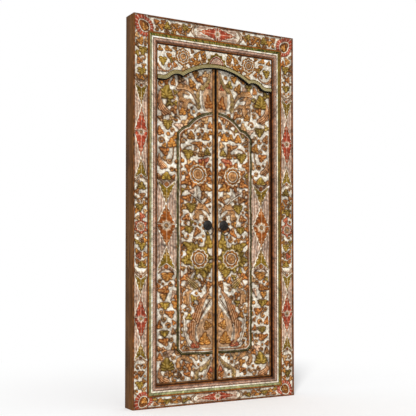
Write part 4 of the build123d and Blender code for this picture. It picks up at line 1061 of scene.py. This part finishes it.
# Drawn places run from the meeting edge outwards and up. Leaves: place, length, width and angle
# of the tip. Curls: place, radius, angle at the start, and turn. Blades and stems: start, bend,
# end, width at the start and at the end, and paint, and a blade's lobed side.
FOLIAGE = {
    "ochre": [
        (125, 1818, 48, 36, -90), (150, 1768, 58, 40, 60), (210, 1602, 46, 40, 90),
        (60, 1478, 50, 46, 90), (152, 1476, 52, 44, 90), (90, 1385, 56, 34, 90),
        (270, 1430, 60, 48, 80), (60, 1190, 80, 46, 200), (66, 350, 84, 66, 90), (50, 430, 56, 50, 60),
        (40, 480, 40, 26, 90), (300, 700, 58, 72, -90), (320, 590, 44, 40, -90),
        (218, 1300, 26, 20, 60), (205, 740, 36, 24, 30), (262, 1680, 30, 20, 40),
        (352, 1810, 30, 20, 90),
    ],
    "olive": [
        (303, 1700, 94, 84, 90), (298, 1530, 62, 58, -90), (172, 1372, 66, 60, -90),
        (48, 1392, 48, 40, 90), (152, 1078, 64, 60, -90), (305, 1242, 54, 58, 90),
        (165, 958, 50, 58, -90), (48, 898, 104, 48, 90), (165, 858, 100, 56, 35), (190, 785, 54, 50, 0),
        (38, 748, 60, 44, -90), (68, 720, 62, 66, -90), (313, 545, 48, 58, -90),
        (315, 393, 44, 54, -90), (300, 222, 84, 80, 90),
    ],
    "orange": [
        (262, 1764, 50, 28, 100), (32, 1542, 44, 32, 90), (112, 1430, 78, 34, 10),
        (342, 1490, 54, 34, 70), (318, 1385, 66, 40, 20), (188, 1212, 72, 36, -10),
        (180, 1130, 66, 34, 0), (48, 1118, 56, 26, -40), (182, 1020, 56, 34, -20),
        (118, 940, 64, 34, -50), (190, 688, 60, 36, -20), (40, 640, 70, 30, -70),
        (322, 628, 78, 38, -10), (287, 500, 64, 36, 20), (345, 440, 52, 30, 80), (320, 350, 70, 40, 10),
        (342, 265, 46, 34, 90), (178, 165, 50, 24, 10), (40, 150, 44, 30, 60), (40, 1280, 50, 30, 80),
        (34, 1230, 40, 26, 100), (44, 1672, 84, 48, 86), (352, 1240, 34, 24, 60),
        (262, 1240, 34, 22, 120), (350, 540, 30, 22, 70), (262, 450, 34, 20, 60),
        (210, 1110, 30, 20, 60), (208, 960, 34, 22, -60), (352, 650, 30, 20, 60),
        (205, 630, 40, 24, 60), (348, 310, 34, 24, 60), (262, 400, 40, 24, 80),
    ],
    "red": [(125, 318, 46, 56, 90), (72, 1338, 80, 46, 150), (40, 1760, 36, 26, 90), (30, 180, 34, 24, 90)],
    "pink": [
        (190, 1768, 26, 20, 120), (218, 1640, 26, 18, 60), (232, 1522, 60, 32, 20),
        (150, 1166, 42, 24, 0), (265, 600, 60, 20, -70), (277, 287, 50, 34, 160),
    ],
}
CURLS = [
    (244, 1560, 22, 180, -290), (172, 1612, 15, 60, -260), (200, 1442, 21, 170, -300),
    (335, 1437, 21, 180, -330), (130, 1375, 17, 160, -290), (82, 1545, 19, -60, 250),
    (130, 1022, 15, 200, -290), (62, 1018, 15, 200, -290), (180, 918, 24, 20, -220),
    (290, 1328, 17, 200, 290), (272, 1280, 14, 20, 290), (92, 622, 18, 130, -230),
    (106, 572, 16, 130, -230), (60, 676, 16, 130, -200), (168, 512, 20, 60, 230),
    (335, 508, 15, 150, 250), (278, 660, 14, 200, 250), (276, 356, 13, 120, 300),
    (216, 200, 20, 90, -290), (256, 142, 22, 170, -290), (84, 240, 20, 150, -210),
]
BLADES = [
    ((125, 1674), (150, 1752), (234, 1736), 10, 30, "ochre", 1),
    ((165, 1700), (248, 1732), (206, 1662), 10, 30, "ochre", 1),
    ((128, 1645), (190, 1692), (196, 1622), 8, 30, "ochre", 1),
    ((34, 1040), (62, 1096), (108, 1082), 8, 30, "ochre", 1),
    ((60, 1036), (125, 1078), (114, 1018), 8, 30, "ochre", 1),
    ((34, 1842), (42, 1762), (98, 1746), 16, 26, "olive", -1),
    ((98, 1746), (126, 1700), (108, 1628), 20, 26, "olive", -1),
    ((26, 250), (50, 200), (104, 186), 14, 26, "olive", -1),
    ((104, 186), (132, 172), (120, 132), 22, 26, "olive", -1),
    ((125, 206), (165, 250), (210, 258), 8, 26, "ochre", 1),
    ((210, 258), (244, 238), (228, 204), 18, 22, "ochre", 1),
    ((346, 1700), (362, 1620), (300, 1590), 16, 40, "orange", 1),
    ((350, 1360), (352, 1310), (318, 1292), 14, 34, "orange", 1),
    ((150, 620), (192, 600), (178, 548), 16, 36, "ochre", 1),
    ((346, 200), (356, 150), (300, 134), 14, 36, "orange", 1),
    ((180, 690), (150, 670), (112, 640), 20, 40, "olive", 1),
    ((44, 612), (94, 560), (128, 452), 20, 44, "orange", 1),
    ((118, 318), (158, 360), (146, 442), 16, 46, "orange", -1),
]
STEMS = [
    ((118, 1205), (122, 1140), (86, 1110), 6, 6, "cream"),
    ((28, 1050), (80, 1112), (150, 1148), 6, 7, "cream"),
    ((125, 738), (162, 700), (190, 640), 7, 6, "ochre"),
    ((190, 640), (216, 600), (212, 545), 6, 6, "ochre"),
    ((18, 1850), (54, 1790), (77, 1730), 6, 7, "cream"),
    ((77, 1730), (90, 1680), (66, 1622), 7, 6, "cream"),
    ((16, 246), (40, 200), (60, 160), 6, 6, "cream"), ((60, 160), (72, 146), (72, 130), 6, 6, "cream"),
    ((24, 566), (96, 490), (122, 420), 7, 7, "cream"),
    ((122, 420), (136, 366), (108, 304), 7, 7, "cream"),
    ((196, 460), (200, 380), (158, 312), 10, 7, "cream"),
    ((262, 1228), (305, 1186), (350, 1228), 6, 6, "brown"),
    ((258, 716), (303, 768), (350, 716), 6, 6, "brown"),
    ((34, 566), (104, 480), (112, 420), 4, 4, "brown"),
    ((70, 1530), (110, 1545), (130, 1500), 6, 6, "ochre"),
    ((215, 1700), (240, 1660), (230, 1600), 6, 6, "ochre"),
    ((262, 1420), (255, 1370), (280, 1320), 6, 6, "ochre"),
    ((150, 1420), (190, 1420), (205, 1380), 6, 6, "ochre"),
]
# Heights, and half widths there, of the three tan grounds that straddle the meeting edges
VASES = [
    ((296, 304, 352, 392, 432, 452, 472, 510, 547), (0, 92, 107, 118, 112, 101, 79, 44, 11)),
    ((1616, 1622, 1640, 1690, 1731, 1790, 1845), (0, 62, 74, 80, 74, 44, 18)),
    ((128, 134, 165, 200, 240), (0, 66, 52, 30, 14)),
]
# The striped column. Darts: height, length, width and angle. Rosettes: as their function takes them.
# Lines of the arched frame: inset, width, paint and share of the relief.
column_middle, column_low, column_high = 306.0, 730.0, 1210.0
LEAF_DARTS = [(1152, 124, 112, -90), (800, 126, 112, 90)]
LEAF_ROSETTES = [(112, 1262, 54, 29, 12, 8, 44, "orange"), (103, 795, 54, 29, 9, 7, 46, "olive")]
ARCHED_LINES = [(2.0, 13.0, "green", 0.75), (3.0, 3.0, "pale_green", 0.75), (11.5, 5.5, "cream", 0.7),
                (17.5, 6.0, "orange", 0.6)]


def arched_line(inset):
    """The arched frame's outer line moved in: a crown arc, a shoulder arc, a stile, a chamfer and a foot.

    The two arcs are circles, and the cusp lies where they cross.
    """
    crown_radius, crown_z = 212.0 - inset, 1402.0
    shoulder_radius, shoulder_x, shoulder_z = 108.0 - inset, 148.0, 1422.0
    stile, foot, corner = 237.0 - inset, 272.0 + inset, 28.0 - 0.6 * inset
    apart = np.hypot(shoulder_x, shoulder_z - crown_z)
    reach = (crown_radius ** 2 + apart ** 2 - shoulder_radius ** 2) / (2 * apart)
    height = np.sqrt(crown_radius ** 2 - reach ** 2)
    cusp = (shoulder_x * reach - (shoulder_z - crown_z) * height) / apart
    crown = np.linspace(0, cusp, 14)
    shoulder = np.linspace(cusp, stile, 12)[1:]
    top = np.c_[crown, crown_z + np.sqrt(crown_radius ** 2 - crown ** 2)]
    side = np.c_[shoulder, shoulder_z + np.sqrt(shoulder_radius ** 2 - (shoulder - shoulder_x) ** 2)]
    return np.r_[top, side, [(stile, foot + corner), (stile - corner, foot), (0, foot)]]


def carve_leaf(across, up, phase):
    """Lay out a leaf's carving, drawn from its meeting edge outwards."""
    in_field = (across > field_inner + 2) & (across < field_outer - 2) & (up > field_foot + 2)
    across, up = curved_hand(across, up, phase)
    face = CarvedFace(across, up, CHALK, leaf_relief)
    column = smooth(243, 247, across) * smooth(column_low - 5, column_low + 5, up)
    column = column * (1 - smooth(column_high - 5, column_high + 5, up))
    striped(face, column, (across - column_middle) / 17 + 0.14 * np.sin(up / 30))
    for heights, halves in VASES:
        vase = smooth(-2, 2, np.interp(up, heights, halves, left=0, right=0) - across)
        face.paint += (0.85 * vase)[..., None] * (0.5 * TAN + 0.3 * PINK + 0.1 * OCHRE - face.paint)
        face.rise += 2.0 * vase
    for start, bend, end, wide_start, wide_end, colour in STEMS:
        face.bow(start, bend, end, wide_start, wide_end, colour)
    for x, z, radius, start, turn in CURLS:
        face.curl(x, z, radius, start, turn, "ochre", 9.0)
    for colour, leaves in FOLIAGE.items():
        for x, z, length, width, angle in leaves:
            face.leaf(x, z, length, 1.05 * width, angle, colour, 3 if width > 50 else 2)
    for start, bend, end, wide_start, wide_end, colour, lobed_side in BLADES:
        face.blade(start, bend, end, wide_start, wide_end, colour, 4, lobed_side)
    face.diamond(column_middle, 976, 252, 120, "orange", 4, 13.0)
    for z, length, width, angle in LEAF_DARTS:
        face.dart(column_middle, z, length, width, angle)
    for flower in LEAF_ROSETTES:
        face.rosette(*flower)
    face.fill(in_field & (column < 0.05) & (up < drawn_top), leaf_pitch, leaf_least_room)
    for inset, width, colour, height in ARCHED_LINES:
        face.ribbon(arched_line(inset), width, width, colour, height, wall_shade_and_dirt=0.5)
    face.age(0.65, 0.30)
    return face


front_turn, back_turn = np.linspace(0.3, pi / 2, 5), np.linspace(0, pi / 2, 7)
heel_front = np.c_[leaf_outer - heel_front_radius + heel_front_radius * np.sin(front_turn),
                   leaf_front_depth + heel_front_radius * (1 - np.cos(front_turn))]
heel_back = np.c_[leaf_outer - heel_radius + heel_radius * np.cos(back_turn),
                  leaf_back_depth - heel_radius + heel_radius * np.sin(back_turn)]
front_columns = np.r_[leaf_inner, leaf_inner + 2.4, gap_shadow_reach, np.linspace(8.6, field_inner - 0.3, 4),
                      np.linspace(field_inner + 0.6, field_outer - 0.6, leaf_column_count),
                      field_outer + 0.3, field_outer + 3.0, leaf_outer - heel_front_radius]
round_columns = np.r_[heel_front, heel_back, [(leaf_inner, leaf_back_depth)]]
leaf_rows = np.r_[leaf_foot, leaf_foot + 2, sill_sight, field_foot - 0.3,
                  np.linspace(field_foot + 0.6, field_top - 0.6, leaf_row_count), field_top + 0.3, leaf_top]


def carved_leaf(name, side, phase):
    """Build one leaf: rows run up it, and columns run round its section from the meeting edge."""
    up, across = np.meshgrid(leaf_rows, front_columns, indexing="ij")
    face = carve_leaf(across, up, phase)
    in_field = (across > field_inner) & (across < field_outer) & (up > field_foot) & (up < field_top)
    edge = np.minimum(np.minimum(across - field_inner, field_outer - across), up - field_foot)
    # Painted shade along the sunk field's edges: dark brown is laid there.
    face.tint(np.s_[:, :], (1 - smooth(0.5, 3.5, edge)) * 0.8, WALL)
    strip = (0.5 * OCHRE + 0.5 * TAN) * (0.88 + 0.14 * mottle(across.shape, 2)[..., None])
    strip = strip + (0.5 * smooth(0.2, 1.4, mottle(across.shape, 2)))[..., None] * (BROWN - strip)
    boss = boss_seat - np.hypot(across - boss_across, up - boss_up)
    sunk = leaf_relief - np.clip(face.rise, 0, leaf_relief)
    depth = np.where(in_field, leaf_front_depth + sunk, leaf_front_depth)
    depth = depth + (leaf_front_depth - depth) * smooth(-1, 1, boss)
    depth[:, 0] += 1.2
    paint = np.where(in_field[..., None], face.paint, strip)
    foot_strip = smooth(4, 12, field_foot + 6 - leaf_rows)[:, None, None]
    paint = paint + foot_strip * (WALL * 0.9 - paint)
    # Painted shade at the heel, where the leaf meets the jamb: dark brown, and black at the jamb's sight
    # edge.
    heel_strip = smooth(field_outer - 1, field_outer + 2, front_columns)[None, :, None]
    paint = paint + 0.7 * heel_strip * (WALL * 1.2 - paint)
    paint[:, -1:] = SHADOW_BLACK
    # Painted shadow: the meeting edge is laid black, standing for the gap between the leaves.
    paint[:, front_columns <= gap_shadow_reach] = SHADOW_BLACK
    round_across = np.broadcast_to(round_columns[:, 0], (len(leaf_rows), len(round_columns)))
    round_depth = np.broadcast_to(round_columns[:, 1], round_across.shape)
    whole_across = np.concatenate([across, round_across], axis=1)
    whole_depth = np.concatenate([depth, round_depth], axis=1)
    whole_up = np.broadcast_to(leaf_rows[:, None], whole_across.shape)
    place = np.stack([side * whole_across, front_y + whole_depth, whole_up], axis=-1)
    round_paint = np.ones(round_across.shape + (3,)) * WALL * 1.2
    # Painted shadow: the meeting edge's side face is laid black.
    round_paint[:, -1] = SHADOW_BLACK
    paint = np.concatenate([paint, round_paint], axis=1)
    fronts = np.r_[np.ones(len(front_columns), bool), np.zeros(len(round_columns) - 1, bool), [True]]
    leaf = painted_board(name, place, np.clip(paint, 0.01, 0.95), fronts)
    leaf.data.materials.append(paint_finish)
    leaf.data.materials.append(upright_wood)
    return leaf


for side, side_name, phase in ((-1, "left", 0.0), (1, "right", 1.7)):
    leaf = carved_leaf(f"carved_leaf_{side_name}", side, phase)
    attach(leaf, f"door_{side_name}")
    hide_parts(f"leaf_{side_name}")

# Battens, pins, pegs and ring pulls
# Sawn battens nailed across the backs of the leaves, iron pivot pins, the wooden pegs that lock the
# tenons, and the forged bosses, staples and rings. They keep their CAD shapes, and get their finish here.


def black_iron():
    """Hand-forged iron, blackened and waxed: dark, uneven, and worn brighter where fingers rub it."""
    material = bpy.data.materials.new("blackened_iron")
    material.use_nodes = True
    tree = material.node_tree
    tree.nodes.clear()
    spot = add_node(tree, "ShaderNodeTexCoord").outputs["Object"]
    scale = add_node(tree, "ShaderNodeTexNoise", Vector=spot, Scale=160.0, Detail=6.0,
                     Roughness=0.7).outputs[0]
    colour = add_node(tree, "ShaderNodeValToRGB", Fac=scale)
    ramp = colour.color_ramp
    ramp.elements[0].position, ramp.elements[0].color = 0.35, (0.004, 0.0035, 0.003, 1)
    ramp.elements[1].position, ramp.elements[1].color = 0.75, (0.020, 0.016, 0.012, 1)
    rough = add_node(tree, "ShaderNodeMapRange", Value=scale, To_Min=0.34, To_Max=0.72).outputs[0]
    dents = add_node(tree, "ShaderNodeTexVoronoi", Vector=spot, Scale=190.0).outputs[0]
    height = add_node(tree, "ShaderNodeMath", {"operation": "ADD"}, _0=dents, _1=scale).outputs[0]
    bump = add_node(tree, "ShaderNodeBump", Strength=0.4, Distance=0.0005, Height=height).outputs[0]
    surface = add_node(tree, "ShaderNodeBsdfPrincipled", Base_Color=colour.outputs[0], Metallic=0.2,
                       Roughness=rough, Normal=bump, Specular_IOR_Level=0.3)
    add_node(tree, "ShaderNodeOutputMaterial", Surface=surface.outputs[0])
    return material


iron_finish = black_iron()
finishes = {"batten_nails": iron_finish, "batten_": level_wood, "pivot_": iron_finish, "pull_": iron_finish,
            "pegs_": upright_wood}
for node_name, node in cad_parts.items():
    for start, finish in finishes.items():
        if node_name.startswith(start):
            for slot_index in range(len(node.material_slots)):
                node.material_slots[slot_index].material = finish
            break
